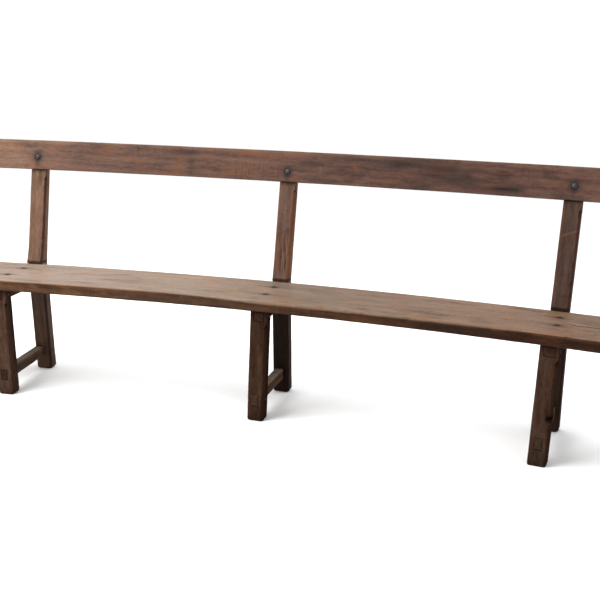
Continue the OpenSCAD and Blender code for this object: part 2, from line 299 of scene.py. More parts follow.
def worn(size, along, seed, nicks=(), swing=SWING):
    """A corner's size along its length: uneven wear, and nicks given as (place, reach, depth)."""
    size = size * (1 + swing * noise(along / 0.09, 0, 0, seed) + 0.2 * noise(along / 0.021, 3, 0, seed))
    for at, reach, depth in nicks:
        size = size + depth * hump((along - at) / reach)
    return np.maximum(size, 0.0006)


def scattered_nicks(low, high, count, seed, deepest):
    """Seeded small chips along an arris."""
    draw = np.random.default_rng(seed)
    return [(draw.uniform(low, high), draw.uniform(0.005, 0.016), draw.uniform(0.2, 1) * deepest)
            for _ in range(count)]


def worn_corners(along, low, high, seed, corners):
    """Sizes of a section's corners, each given as (size, chips, deepest chip, set nicks, swing)."""
    sizes = []
    for k, (size, chips, deepest, nicks, swing) in enumerate(corners):
        chipped = list(nicks) + scattered_nicks(low, high, chips, seed + 2 * k + 1, deepest)
        sizes.append(worn(size * np.ones(len(along)), along, seed + 2 * k, chipped, swing))
    return sizes


CAP_RINGS = (0.94, 0.75, 0.5, 0.25)


def loft(name, points, fields):
    """A closed mesh through sections of points, with ringed caps and named point attributes."""
    stations, count = points.shape[:2]
    fields = {**{mask: np.zeros((stations, count)) for mask in MASKS}, **fields}
    rows = [points[k] for k in range(stations)]
    values = {key: [value[k] for k in range(stations)] for key, value in fields.items()}
    for end in (stations - 1, 0):
        for ring in CAP_RINGS:
            rows.append(points[end].mean(0) + ring * (points[end] - points[end].mean(0)))
            for key, value in fields.items():
                middle = value[end].mean(0)
                kept = ring if key == "grain" else ring ** 8
                values[key].append(middle + kept * (value[end] - middle))
    rings = len(CAP_RINGS)
    order = list(range(stations)) + list(range(stations, stations + rings))
    tail = [0] + list(range(stations + rings, stations + 2 * rings))
    index = np.arange(count)
    after = np.roll(index, -1)
    faces = []
    for low, high in list(zip(order, order[1:])) + [(b, a) for a, b in zip(tail, tail[1:])]:
        quads = np.stack([low * count + index, low * count + after,
                          high * count + after, high * count + index], 1)
        faces += quads.tolist()
    faces.append((order[-1] * count + index).tolist())
    faces.append((tail[-1] * count + index[::-1]).tolist())
    mesh = bpy.data.meshes.new(name)
    mesh.from_pydata(np.concatenate(rows).tolist(), [], faces)
    for key, value in values.items():
        store(mesh, key, np.concatenate(value))
    # Points that a cut adds later lack this value, which is how carve() finds them.
    store(mesh, "known", np.ones(len(mesh.vertices)))
    return mesh


def store(mesh, key, value):
    """Writes a point attribute: a number, or three numbers, for each vertex."""
    value = np.asarray(value, np.float32)
    vector = value.ndim == 2
    layer = mesh.attributes.get(key)
    if layer is None:
        layer = mesh.attributes.new(key, "FLOAT_VECTOR" if vector else "FLOAT", "POINT")
    layer.data.foreach_set("vector" if vector else "value", value.ravel())


def fetch(mesh, key):
    layer = mesh.attributes[key]
    vector = layer.data_type == "FLOAT_VECTOR"
    value = np.zeros(len(mesh.vertices) * (3 if vector else 1), np.float32)
    layer.data.foreach_get("vector" if vector else "value", value)
    return value.reshape(-1, 3) if vector else value


SHARP = math.radians(50)
MASKS = ("wear_and_sheen", "dirt_and_shade", "pale", "stain", "bevel")


def add_object(name, data):
    """Puts a mesh, light or camera into the scene as an object."""
    made = bpy.data.objects.new(name, data)
    bpy.context.scene.collection.objects.link(made)
    return made


def as_mesh(name, work):
    """Turns a bmesh into a mesh and frees it."""
    mesh = bpy.data.meshes.new(name)
    work.to_mesh(mesh)
    work.free()
    return mesh


def smooth(mesh):
    mesh.shade_smooth()
    mesh.set_sharp_from_angle(angle=SHARP)


def show(mesh, material):
    """Makes an object of a mesh, smooth but for its sharp edges."""
    piece = add_object(mesh.name, mesh)
    work = bmesh.new()
    work.from_mesh(mesh)
    bmesh.ops.recalc_face_normals(work, faces=work.faces)
    work.to_mesh(mesh)
    work.free()
    smooth(mesh)
    mesh.materials.append(material)
    return piece


def declare(piece, slot, *nodes):
    """The piece rides on the pew's one body and stands for its CAD nodes; slot is not used."""
    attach(piece, "root")
    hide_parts(*nodes)
    return piece


# ---------------------------------------------------------------- cutting joints and holes
def bar_cutter(work, low, high, width, height):
    """Adds to a bmesh a level square bar from point low to point high."""
    run = high - low
    axes = (run.cross(UP).normalized(), run.normalized(), UP)
    size = Matrix.Diagonal((width, run.length, height, 1))
    bmesh.ops.create_cube(work, size=1, matrix=stand(axes, (low + high) / 2) @ size)


def carve(piece, work):
    """Cuts a bmesh's solids out of a piece. New points take their neighbours' values, and are painted dark
    as shade inside the cut.
    """
    old = piece.data
    waste = add_object("waste", as_mesh("waste", work))
    cut = piece.modifiers.new("cut", "BOOLEAN")
    cut.operation = "DIFFERENCE"
    cut.solver = "EXACT"
    cut.object = waste
    shown = piece.evaluated_get(bpy.context.evaluated_depsgraph_get())
    fresh = bpy.data.meshes.new_from_object(shown)
    piece.modifiers.clear()
    bpy.data.objects.remove(waste)
    tree = KDTree(len(old.vertices))
    for k, vertex in enumerate(old.vertices):
        tree.insert(vertex.co, k)
    tree.balance()
    new = np.flatnonzero(fetch(fresh, "known") < 0.5)
    near = [tree.find(fresh.vertices[int(k)].co)[1] for k in new]
    for key in MASKS + ("grain",):
        value = fetch(fresh, key)
        value[new] = fetch(old, key)[near]
        # Painted shade: the walls of cuts and holes are painted dark as if in shadow.
        if key == "dirt_and_shade":
            value[new] = np.maximum(value[new], 0.85)
        store(fresh, key, value)
    name = old.name
    piece.data = fresh
    bpy.data.meshes.remove(old)
    fresh.name = name
    smooth(fresh)


HOLE_SIDES = 28


def drill(piece, holes):
    """Cuts round holes out of a piece, each given as (one end, other end, radius)."""
    work = bmesh.new()
    for low, high, radius in holes:
        run = high - low
        turn = run.to_track_quat("Z", "Y").to_matrix().to_4x4()
        bmesh.ops.create_cone(work, cap_ends=True, segments=HOLE_SIDES, radius1=radius,
                              radius2=radius, depth=run.length,
                              matrix=Matrix.Translation((low + high) / 2) @ turn)
    carve(piece, work)


# ---------------------------------------------------------------- materials
class Graph:
    """A material's node tree, with short calls for the nodes that the materials share."""

    def __init__(self, name):
        self.material = bpy.data.materials.new(name)
        self.material.use_nodes = True
        self.tree = self.material.node_tree
        self.shader = self.tree.nodes["Principled BSDF"]

    def node(self, kind, inputs=(), **settings):
        made = self.tree.nodes.new("ShaderNode" + kind)
        for key, value in settings.items():
            setattr(made, key, value)
        for key, value in dict(inputs).items():
            self.put(value, made.inputs[key])
        return made

    def put(self, value, socket):
        if isinstance(value, bpy.types.NodeSocket):
            self.tree.links.new(value, socket)
        elif socket.type == "RGBA" and len(value) == 3:
            socket.default_value = (*value, 1)
        else:
            socket.default_value = value

    def mask(self, key):
        return self.node("Attribute", attribute_name=key).outputs["Fac"]

    def scaled(self, vector, scale):
        return self.node("VectorMath", {0: vector, 1: scale}, operation="MULTIPLY").outputs[0]

    def moved(self, vector, shift):
        return self.node("VectorMath", {0: vector, 1: shift}).outputs[0]

    def grain(self, scale):
        source = self.node("Attribute", attribute_name="grain").outputs["Vector"]
        return self.scaled(source, scale)

    def math(self, operation, a, b):
        return self.node("Math", {0: a, 1: b}, operation=operation).outputs[0]

    def times(self, a, b):
        return self.math("MULTIPLY", a, b)

    def plus(self, a, b):
        return self.math("ADD", a, b)

    def minus(self, a, b):
        return self.math("SUBTRACT", a, b)

    def noise(self, vector, detail=3.0, rough=0.55, warp=0.0):
        inputs = {"Vector": vector, "Scale": 1.0, "Detail": detail, "Roughness": rough,
                  "Distortion": warp}
        return self.node("TexNoise", inputs).outputs["Fac"]

    def span(self, value, low, high, to_low=0.0, to_high=1.0):
        inputs = {"Value": value, "From Min": low, "From Max": high, "To Min": to_low, "To Max": to_high}
        return self.node("MapRange", inputs, interpolation_type="SMOOTHSTEP").outputs[0]

    def ramp(self, factor, stops):
        stops = list(stops)
        made = self.node("ValToRGB", {"Fac": factor})
        line = made.color_ramp.elements
        while len(line) < len(stops):
            line.new(1.0)
        for point, (at, colour) in zip(line, stops):
            point.position = at
        for point, (at, colour) in zip(line, stops):
            point.color = (*colour, 1)
        return made.outputs["Color"]

    def mix(self, factor, a, b, blend="MIX"):
        made = self.node("Mix", data_type="RGBA", blend_type=blend)
        self.put(factor, made.inputs[0])
        self.put(a, made.inputs[6])
        self.put(b, made.inputs[7])
        return made.outputs[2]

    def bump(self, height, distance, strength=1.0):
        inputs = {"Height": height, "Distance": distance, "Strength": strength}
        self.put(self.node("Bump", inputs).outputs[0], self.shader.inputs["Normal"])


# The studio's light is stronger than a white wall's, so paints are darker than they show.
SHOWN = 0.46


def linear(red, green, blue):
    """The paint that shows as a display colour (0-255) in the studio's light."""
    value = [v / 255 for v in (red, green, blue)]
    value = [v / 12.92 if v <= 0.04045 else ((v + 0.055) / 1.055) ** 2.4 for v in value]
    return tuple(v * SHOWN for v in value)


def figure(graph, seed):
    """Oak figure from the grain coordinates, each value from 0 to 1 about a half."""
    shift = (seed * 3.1, seed * 1.7, seed * 0.9)

    def at(along, across, offset=0.0):
        return graph.moved(graph.grain((along, across, across)), tuple(v + offset for v in shift))

    streak = graph.noise(at(5, 48), 4.0, 0.62, 0.5)
    fine = graph.noise(at(16, 260, 5.0), 3.0, 0.6)
    drift = graph.noise(at(1.6, 9, 13.0), 2.0, 0.5)
    band_inputs = {"Vector": at(1.0, 22, 17.0), "Scale": 1.0, "Distortion": 5.0, "Detail": 3.0,
                   "Detail Scale": 0.6}
    band = graph.node("TexWave", band_inputs, wave_type="BANDS", bands_direction="DIAGONAL").outputs["Fac"]
    mottle = graph.noise(at(42, 125, 29.0), 3.0, 0.65)
    tone = graph.times(streak, 0.42)
    for part, weight in ((mottle, 0.32), (fine, 0.14), (band, 0.07), (drift, 0.17)):
        tone = graph.plus(tone, graph.times(part, weight))
    return {"tone": tone, "fine": fine, "mottle": mottle,
            "pore": graph.noise(at(28, 900, 9.0), 2.0, 0.5),
            "blotch": graph.noise(at(7, 20, 21.0), 4.0, 0.62, 0.4),
            "warm": graph.noise(at(8, 26, 33.0), 4.0, 0.65, 0.5),
            "cool": graph.noise(at(6, 17, 47.0), 4.0, 0.65, 0.5),
            "saw": graph.noise(at(190, 16, 51.0), 2.0, 0.5),
            "saw_place": graph.noise(at(5, 11, 57.0), 2.0, 0.5)}


# Where a wood's dark, middle and light paints stand in its tone.
TONE_STOPS = (0.36, 0.56, 0.76)


def wood(name, seed, paints, top=None, along=None, patchy=(1.0, 1.0), shine=0.08, rough=0.40):
    """Old oak, its paints given as display colours.

    paints has its dark, middle, light, worn and warm ones, and perhaps one for chamfers and tenon
    ends, which on most posts and legs is a painted shade. top has a top face's dark, middle, light
    and warm ones: worn pale, and on the seat also greyish as a painted sheen. along paints light
    falling off from left to right, with some change of tone, and patchy gives the strength of its
    patches at either end. The worn paint also serves as a painted highlight on the rail's top.
    """
    graph = Graph(name)
    look = figure(graph, seed)
    dark, middle, light, wear_and_sheen_tone, warm, *bevel = (linear(*paint) for paint in paints)
    colour = graph.ramp(look["tone"], zip(TONE_STOPS, (dark, middle, light)))
    if along:
        split = graph.node("SeparateXYZ", {0: graph.grain((1 / SEAT_LEN, 0, 0))})
        place_along = graph.plus(split.outputs[0], 0.5)
        strength = graph.span(place_along, 0.35, 0.70, *patchy)
    else:
        strength = patchy[0]
    if top:
        top_dark, top_middle, top_light, top_warm = (linear(*paint) for paint in top)
        pale = graph.ramp(look["tone"], zip(TONE_STOPS, (top_dark, top_middle, top_light)))
        ragged = graph.plus(graph.mask("pale"), graph.times(look["blotch"], 0.5))
        shown = graph.span(ragged, 0.55, 0.95)
        colour = graph.mix(shown, colour, pale)
        warm = graph.mix(shown, warm, top_warm)
    cool = graph.times(graph.span(look["cool"], 0.48, 0.68, 0.0, 0.80), strength)
    colour = graph.mix(cool, colour, (0.62, 0.72, 0.78), "MULTIPLY")
    blotch = graph.times(graph.span(look["blotch"], 0.53, 0.74, 0.0, 0.70), strength)
    colour = graph.mix(blotch, colour, (0.42, 0.40, 0.40), "MULTIPLY")
    colour = graph.mix(graph.span(look["warm"], 0.50, 0.66, 0.0, 0.72), colour, warm)
    saw = graph.times(graph.span(look["saw"], 0.48, 0.66), graph.span(look["saw_place"], 0.46, 0.62))
    colour = graph.mix(graph.times(saw, 0.30), colour, (0.45, 0.42, 0.42), "MULTIPLY")
    # Chamfers and tenon ends take their own paint, on most posts and legs a painted shade.
    if bevel:
        colour = graph.mix(graph.times(graph.mask("bevel"), 0.9), colour, bevel[0])
    # Wear, and on the rail's top a painted highlight, take the worn paint.
    wear_and_sheen = graph.times(graph.mask("wear_and_sheen"), graph.span(look["blotch"], 0.62, 0.30, 0.25, 1.0))
    colour = graph.mix(graph.times(wear_and_sheen, 0.65), colour, wear_and_sheen_tone)
    # Painted light: the along tint brightens the wood at the left and darkens it to the right.
    if along:
        falloff_tint = graph.ramp(place_along, along)
        colour = graph.mix(1.0, colour, falloff_tint, "MULTIPLY")
    pores = graph.span(look["pore"], 0.60, 0.72, 0.0, 0.5)
    colour = graph.mix(pores, colour, (0.25, 0.2, 0.18), "MULTIPLY")
    colour = graph.mix(graph.mask("stain"), colour, linear(52, 46, 46))
    # The dirt-and-shade mask paints dark: real dirt, and painted shade in cuts, below the seat and the
    # rail, and on faces turned from the light.
    colour = graph.mix(graph.mask("dirt_and_shade"), colour, linear(22, 11, 6))
    graph.put(colour, graph.shader.inputs["Base Color"])
    gleam = graph.plus(look["fine"], look["blotch"])
    graph.put(graph.span(gleam, 0.7, 1.3, rough, rough + 0.26), graph.shader.inputs["Roughness"])
    graph.shader.inputs["Specular IOR Level"].default_value = shine
    height = graph.plus(graph.times(look["fine"], 0.6), look["tone"])
    height = graph.minus(height, graph.times(pores, 0.9))
    height = graph.minus(height, graph.times(saw, 0.5))
    graph.bump(height, 0.0006, 0.7)
    return graph.material


def iron(name, seed, dark, rust, metallic, gloss):
    """Old iron: dark scale with rust in its hollows and a hammered surface."""
    graph = Graph(name)
    moved = graph.moved(graph.node("TexCoord").outputs["Object"], (seed, seed, seed))

    def at(scale):
        return graph.scaled(moved, (scale, scale, scale))

    blotch = graph.noise(at(260), 4.0, 0.6)
    pits = graph.noise(at(1100), 3.0, 0.6)
    hammer = graph.noise(at(170), 1.0, 0.4)
    colour = graph.ramp(blotch, [(0.35, rust), (0.50, dark), (0.72, tuple(2.2 * v for v in dark))])
    colour = graph.mix(graph.span(pits, 0.55, 0.70, 0.0, 0.6), colour, rust)
    graph.put(colour, graph.shader.inputs["Base Color"])
    graph.put(graph.span(blotch, 0.35, 0.7, gloss + 0.25, gloss), graph.shader.inputs["Roughness"])
    graph.shader.inputs["Metallic"].default_value = metallic
    height = graph.plus(graph.times(pits, 0.35), hammer)
    graph.bump(height, 0.0004, 0.8)
    return graph.material


# Painted light: the pew is painted brighter at the left, where the light falls strongest, and darker to
# the right, with some real change of tone: (place along, tint).
RAIL_LIGHT_FALLOFF_TINT = [(0.02, (1.62, 1.80, 1.74)), (0.10, (1.52, 1.66, 1.60)), (0.20, (1.0, 1.06, 1.08)),
             (0.45, (0.98, 0.96, 0.94)), (0.68, (0.76, 0.74, 0.74)), (0.80, (0.77, 0.74, 0.76)),
             (0.90, (1.00, 0.96, 0.96)), (0.98, (1.00, 0.96, 0.96))]
SEAT_LIGHT_FALLOFF_TINT = [(0.05, (1.28, 1.30, 1.28)), (0.18, (1.26, 1.30, 1.30)), (0.42, (1.06, 1.07, 1.02)),
             (0.56, (0.78, 0.75, 0.69)), (0.80, (0.86, 0.71, 0.57)), (0.98, (0.69, 0.62, 0.55))]

rail_oak = wood("rail_oak", 1, [(76, 55, 46), (120, 88, 76), (144, 109, 93), (168, 132, 108),
                                (136, 90, 64)], along=RAIL_LIGHT_FALLOFF_TINT, patchy=(0.65, 1.25))
# The seat's top paints are worn pale, and greyish as a painted sheen.
seat_oak = wood("seat_oak", 2, [(56, 36, 25), (94, 64, 45), (120, 84, 61), (204, 164, 134),
                                (119, 82, 58)],
                [(134, 112, 100), (162, 140, 126), (186, 163, 147), (173, 133, 106)],
                along=SEAT_LIGHT_FALLOFF_TINT, patchy=(0.5, 0.9), shine=0.05)
# Posts' and legs' paints by frame, left to right. The left frame's are the lightest, partly as painted
# light, brighter at the left, and partly by each timber's own tone. The last, the chamfer paint, is a
# painted shade on most of them; the middle post's is an orange tone.
POST_PAINTS = [[(110, 84, 70), (146, 113, 94), (168, 134, 110), (132, 98, 80), (142, 102, 76),
                (74, 46, 34)],
               [(80, 61, 56), (120, 92, 81), (152, 116, 96), (176, 122, 86), (140, 88, 58),
                (132, 78, 44)],
               [(62, 47, 41), (95, 73, 63), (116, 91, 80), (150, 104, 84), (102, 66, 52),
                (62, 34, 25)]]
LEG_PAINTS = [[(58, 43, 36), (94, 71, 59), (122, 95, 79), (104, 80, 66), (86, 56, 39), (58, 40, 31)],
              [(41, 27, 21), (70, 49, 38), (97, 71, 56), (92, 66, 49), (70, 42, 27), (52, 33, 23)],
              [(50, 36, 28), (84, 62, 50), (109, 83, 68), (92, 68, 55), (70, 44, 31), (54, 36, 27)]]
post_oaks = {side: wood(f"{side}_post_oak", 3 + k, paints, shine=0.05, rough=0.55)
             for k, (side, paints) in enumerate(zip(FRAMES, POST_PAINTS))}
leg_oaks = {side: wood(f"{side}_leg_oak", 6 + k, paints, shine=0.0, rough=0.62)
            for k, (side, paints) in enumerate(zip(FRAMES, LEG_PAINTS))}
bar_oak = wood("bar_oak", 9, [(58, 45, 37), (95, 73, 60), (128, 103, 87), (140, 116, 96),
                              (88, 58, 41), (66, 48, 36)],
               [(120, 104, 90), (152, 134, 117), (180, 161, 143), (146, 116, 90)],
               shine=0.0, rough=0.62)
peg_oak = wood("peg_oak", 10, [(40, 28, 21), (64, 45, 35), (88, 66, 52), (98, 76, 60),
                               (76, 50, 35)])
bolt_iron = iron("bolt_iron", 1.3, (0.022, 0.022, 0.024), (0.022, 0.013, 0.009), 0.45, 0.30)
nail_iron = iron("nail_iron", 2.7, (0.016, 0.015, 0.015), (0.022, 0.013, 0.009), 0.35, 0.55)


# ---------------------------------------------------------------- planks
# Sections of planks and cross bars stand this far apart along them.
STATION = 0.005
# Points this near a face's plane belong to the face.
FACE_BAND = 0.006
# Splits in the planks: points (along, across the face) that they run through, width and depth.
SEAT_SPLIT = {"points": [(1.040, -0.1560), (1.066, -0.1660), (1.091, -0.1745), (1.155, -0.1716),
                         (1.230, -0.1765), (1.370, -0.1700)], "width": 0.0022, "depth": 0.008}
SEAT_END_SPLIT = {"points": [(-1.370, -0.118), (-1.300, -0.121), (-1.225, -0.116)],
                  "width": 0.0009, "depth": 0.006}
RAIL_SPLIT = {"points": [(1.180, 0.0660), (1.260, 0.0690), (1.370, 0.0655)], "width": 0.0009,
              "depth": 0.006}
SPLIT_STEPS = np.array([-2.2, -1.0, -0.45, 0.0, 0.45, 1.0, 2.2])
SPLIT_CLEAR = 0.0032
SPLIT_PULL = 0.06
SPLIT_TAPER = 0.09


def split_columns(columns, splits, low, length):
    """Points along a face with finer steps where a split will run. Gives (places, cores)."""
    cores = []
    for split in splits:
        home = np.mean([p[1] for p in split["points"]])
        columns = columns[np.abs(low + columns * length - home) > SPLIT_CLEAR]
        cluster = (home - low + SPLIT_STEPS * split["width"]) / length
        columns = np.sort(np.concatenate([columns, cluster]))
        cores.append(home)
    return columns, cores


def split_path(split, along):
    """Where a split runs across its face, wavering along the grain."""
    return np.interp(along, *zip(*split["points"])) + 0.0006 * noise(along / 0.012, 0, 0, 41)


def follow_splits(columns, splits, cores, low, length, along):
    """Shifts the points sideways so that the fine ones follow each split along the plank."""
    home_row = low + columns * length
    moved = np.broadcast_to(home_row, (len(along), len(home_row))).copy()
    for split, home in zip(splits, cores):
        path = split_path(split, along)
        pull = hump((home_row - home) / SPLIT_PULL)
        moved += (path - home)[:, None] * pull
    return (moved - low) / length


def split_depth(across, along, splits):
    """Depth of the splits at places (along, across) on a face."""
    depth = np.zeros(np.broadcast(across, along).shape)
    for split in splits:
        low, high = split["points"][0][0], split["points"][-1][0]
        path = split_path(split, along)
        start = np.clip((along - low) / SPLIT_TAPER, 0, 1) if low > -SEAT_LEN / 2 + 0.001 else 1.0
        stop = np.clip((high - along) / SPLIT_TAPER, 0, 1) if high < SEAT_LEN / 2 - 0.001 else 1.0
        taper = np.minimum(start, stop) * (along >= low) * (along <= high)
        width = split["width"] * (0.35 + 0.65 * taper)
        gap = np.clip(1 - np.abs(across - path) / width, 0, 1)
        depth = depth + split["depth"] * np.sqrt(taper) * gap
    return depth


def plank_stations():
    """Places along a plank, closer together at its ends, where the arrises are rounded."""
    end = np.array([0, 0.0006, 0.0018, 0.004])
    inner = np.linspace(0.008, SEAT_LEN - 0.008, int(SEAT_LEN / STATION))
    return np.concatenate([end, inner, SEAT_LEN - end[::-1]]) - SEAT_LEN / 2


def end_round(along, radius=0.003):
    """How far a plank's faces draw in towards its ends."""
    inside = np.clip(SEAT_LEN / 2 - np.abs(along), 0, radius)
    return radius - np.sqrt(radius ** 2 - (radius - inside) ** 2)


def bell(x):
    """One at zero, falling away softly to either side."""
    return np.exp(-x ** 2)


def raise_mask(fields, key, value):
    """Raises a mask of a mesh to at least a value."""
    fields[key] = np.maximum(fields[key], value)


def spots(along, across, marks):
    """The sum of soft marks, each (along, across, reach along, reach across, strength)."""
    total = 0.0
    for at, over, long_reach, wide_reach, strength in marks:
        far = ((along - at) / long_reach) ** 2 + ((across - over) / wide_reach) ** 2
        total = total + strength * np.exp(-far)
    return total


def nail_spots(*timbers):
    """Where the nails of these frames, or of all, stand on the seat, as (s, r)."""
    found = []
    for timber in timbers or FRAMES.values():
        for r in timber["nail_back"]:
            u = timber["leg_top_u"] * -r / (LEG_TOP - LEG_D / 2) + timber["nail_shift"]
            found.append((timber["at"] + u * CURVE_R / (CURVE_R + r), r))
    return found


# Marks on the seat, each (along, back, reach along, reach back, strength or depth): pale
# scuffs, dents, stains, stains on its front edge (by height), what each nail leaves, and the darkening
# about each post.
SEAT_SCUFFS = [(1.049, -0.158, 0.030, 0.004, 0.9), (1.105, -0.161, 0.040, 0.003, 0.7),
               (1.020, -0.150, 0.020, 0.004, 0.5), (0.883, -0.064, 0.030, 0.014, 0.7),
               (0.820, -0.055, 0.040, 0.010, 0.4), (0.861, -0.212, 0.022, 0.010, 0.8),
               (0.332, -0.102, 0.028, 0.012, 0.5), (-0.300, -0.060, 0.080, 0.020, 0.45),
               (-0.150, -0.085, 0.060, 0.020, 0.45), (-0.860, -0.160, 0.050, 0.030, 0.40),
               (0.560, -0.070, 0.050, 0.012, 0.4), (0.680, -0.090, 0.060, 0.014, 0.4)]
SEAT_DENTS = [(1.052, -0.160, 0.010, 0.003, 0.0012), (0.872, -0.066, 0.03, 0.02, 0.0006),
              (0.86, -0.21, 0.02, 0.012, 0.0008), (-0.02, -0.29, 0.05, 0.02, 0.0007)]
SEAT_STAINS = [(-0.611, -0.19, 0.05, 0.012, 0.30), (-0.56, -0.20, 0.10, 0.03, 0.12),
               (0.791, -0.278, 0.05, 0.02, 0.25), (0.45, -0.24, 0.20, 0.02, 0.15)]
EDGE_STAINS = [(-0.32, 0.43, 0.22, 0.03, 0.32), (0.72, 0.43, 0.12, 0.03, 0.36),
               (-0.10, 0.425, 0.05, 0.02, 0.25)]
NAIL_STAINS = [(0.0, 0.0, 0.017, 0.019, 0.62), (-0.035, 0.0, 0.05, 0.014, 0.30),
               (0.03, -0.004, 0.05, 0.012, 0.18)]
POST_DARKENING = [(0.0, 0.004, 0.040, 0.016, 0.55)]
# Sitters have worn a shallow hollow at each place along the seat.
SITTER_PITCH = 0.457
SITTER_HOLLOW = [(0.0, -0.17, 0.16, 0.12, 0.0006)]


def seat_plank():
    """The seat: worn pale on top with a painted greyish sheen, a front edge painted dark in part as shade,
    and splits at its ends.
    """
    along = plank_stations()
    tall = SEAT_TOP - SEAT_UNDER
    splits = [SEAT_SPLIT, SEAT_END_SPLIT]
    columns, cores = split_columns(even(60), splits, -SEAT_DEPTH, SEAT_DEPTH)
    top = follow_splits(columns, splits, cores, -SEAT_DEPTH, SEAT_DEPTH, along)
    sizes = worn_corners(along, -SEAT_LEN / 2, SEAT_LEN / 2, 11, [
        (0.0088, 34, 0.0013, [(1.0758, 0.012, 0.004), (-0.02, 0.02, 0.0015)], SWING),
        (0.0018, 22, DEEP_CHIP, (), SWING),
        (0.0026, 10, DEEP_CHIP, (), SWING),
        (0.0042, 18, DEEP_CHIP, (), SWING)])
    shrink = end_round(along)
    width = tall - 2 * shrink
    depth = np.full(len(along), SEAT_DEPTH) - 2 * shrink
    loop, wear_and_sheen = section(width, depth, sizes, [rounding] * 4, [even(14), top, even(7), even(32)])
    loop = weather(loop, along, 19, 0.0006, 0.0002, 0.0001)
    r = loop[..., 1] - SEAT_DEPTH + shrink[:, None]
    z = SEAT_UNDER + tall / 2 + loop[..., 0]
    s = np.broadcast_to(along[:, None], r.shape)
    is_top = loop[..., 0] > tall / 2 - FACE_BAND
    sunk = split_depth(r, s, splits) * is_top
    sit = spots(s % SITTER_PITCH - SITTER_PITCH / 2, r, SITTER_HOLLOW) * is_top
    z = z - sunk - sit - spots(s, r, SEAT_DENTS) * is_top
    stain = sum(spots(s - at, r - back, NAIL_STAINS) for at, back in nail_spots())
    stain = stain + spots(s, r, SEAT_STAINS)
    edge_dark = spots(s, z, EDGE_STAINS) * (r < -SEAT_DEPTH + FACE_BAND)
    stain = np.clip(stain * is_top + edge_dark, 0, 0.85)
    # Dirt lies in the splits and beside the long one, and the seat is darker about the posts. Painted
    # shade darkens the front face below the arris, more to the right where less light falls, and the
    # underside with its lower rim.
    crack = np.interp(s, *zip(*SEAT_SPLIT["points"]))
    beside_crack = bell((r - crack) / 0.0052) * np.clip((s - 1.035) / 0.02, 0, 1) * is_top
    dirt_and_shade = np.maximum(np.clip(sunk / 0.0015, 0, 1) * 0.95, 0.62 * beside_crack)
    for timber in FRAMES.values():
        dirt_and_shade = np.maximum(dirt_and_shade, spots(s - timber["at"], r, POST_DARKENING) * is_top)
    to_right = np.clip((s - 0.30) / 0.35, 0, 1)
    below_arris = np.clip((SEAT_TOP - FACE_BAND - z) / 0.008, 0, 1)
    dirt_and_shade = np.maximum(dirt_and_shade, (0.06 + 0.40 * to_right) * below_arris)
    dirt_and_shade = np.maximum(dirt_and_shade, 0.45 * (z < SEAT_UNDER + 0.004))
    # The pale top fades out over the front edge, and is shaded along its front at the left.
    fade = np.interp(along, (-0.25, 0.05, 0.70, 0.95), (0.010, 0.019, 0.019, 0.006))[:, None]
    front_shade = np.interp(along, (-0.3, 0.0), (0.5, 0.0))[:, None]
    near_front = np.clip(1 - (r + SEAT_DEPTH) / 0.034, 0, 1)
    pale = np.clip(1 - (SEAT_TOP - z) / fade, 0, 1) * (1 - front_shade * near_front)
    grain = np.stack([s, r, z], -1)
    front_band = bell((r + SEAT_DEPTH - FACE_BAND) / 0.010) * is_top
    scuffs = spots(s, r, SEAT_SCUFFS) * is_top
    on_arris = np.clip((z - SEAT_TOP + 0.0045) / 0.0025, 0, 1)
    wear_and_sheen = np.maximum(wear_and_sheen, 0.85 * front_band) * on_arris
    wear_and_sheen = np.maximum(wear_and_sheen, np.clip(scuffs, 0, 1))
    fields = {"grain": grain, "wear_and_sheen": wear_and_sheen, "dirt_and_shade": dirt_and_shade, "pale": pale, "stain": stain}
    piece = show(loft("worn_seat_plank", place(s, 0.0, r, z), fields), seat_oak)
    drill(piece, [(point_at(at, 0.0, back, SEAT_TOP - NAIL_WELL),
                   point_at(at, 0.0, back, SEAT_TOP + 0.004), NAIL_WELL_R) for at, back in nail_spots()])
    return declare(piece, "seat_board", "seat_plank")


# Marks on the rail, each (along, up, reach along, reach up, strength or depth): black smuts,
# pale flecks, stains, those about each bolt, and a dent.
RAIL_SMUTS = [(0.560, 0.078, 0.034, 0.010, 0.45), (0.600, 0.040, 0.035, 0.006, 0.40),
              (0.655, 0.060, 0.020, 0.014, 0.35), (0.775, 0.022, 0.052, 0.007, 0.80),
              (0.430, 0.088, 0.050, 0.008, 0.35), (0.690, 0.082, 0.030, 0.006, 0.30),
              (0.540, 0.055, 0.040, 0.005, 0.30)]
RAIL_FLECKS = [(0.585, 0.055, 0.030, 0.004, 0.6), (0.640, 0.088, 0.030, 0.005, 0.6),
               (0.500, 0.030, 0.040, 0.005, 0.4), (0.124, 0.050, 0.0035, 0.016, 0.9),
               (0.870, 0.022, 0.025, 0.007, 0.8), (0.905, 0.060, 0.030, 0.006, 0.5),
               (0.700, 0.062, 0.035, 0.006, 0.6)]
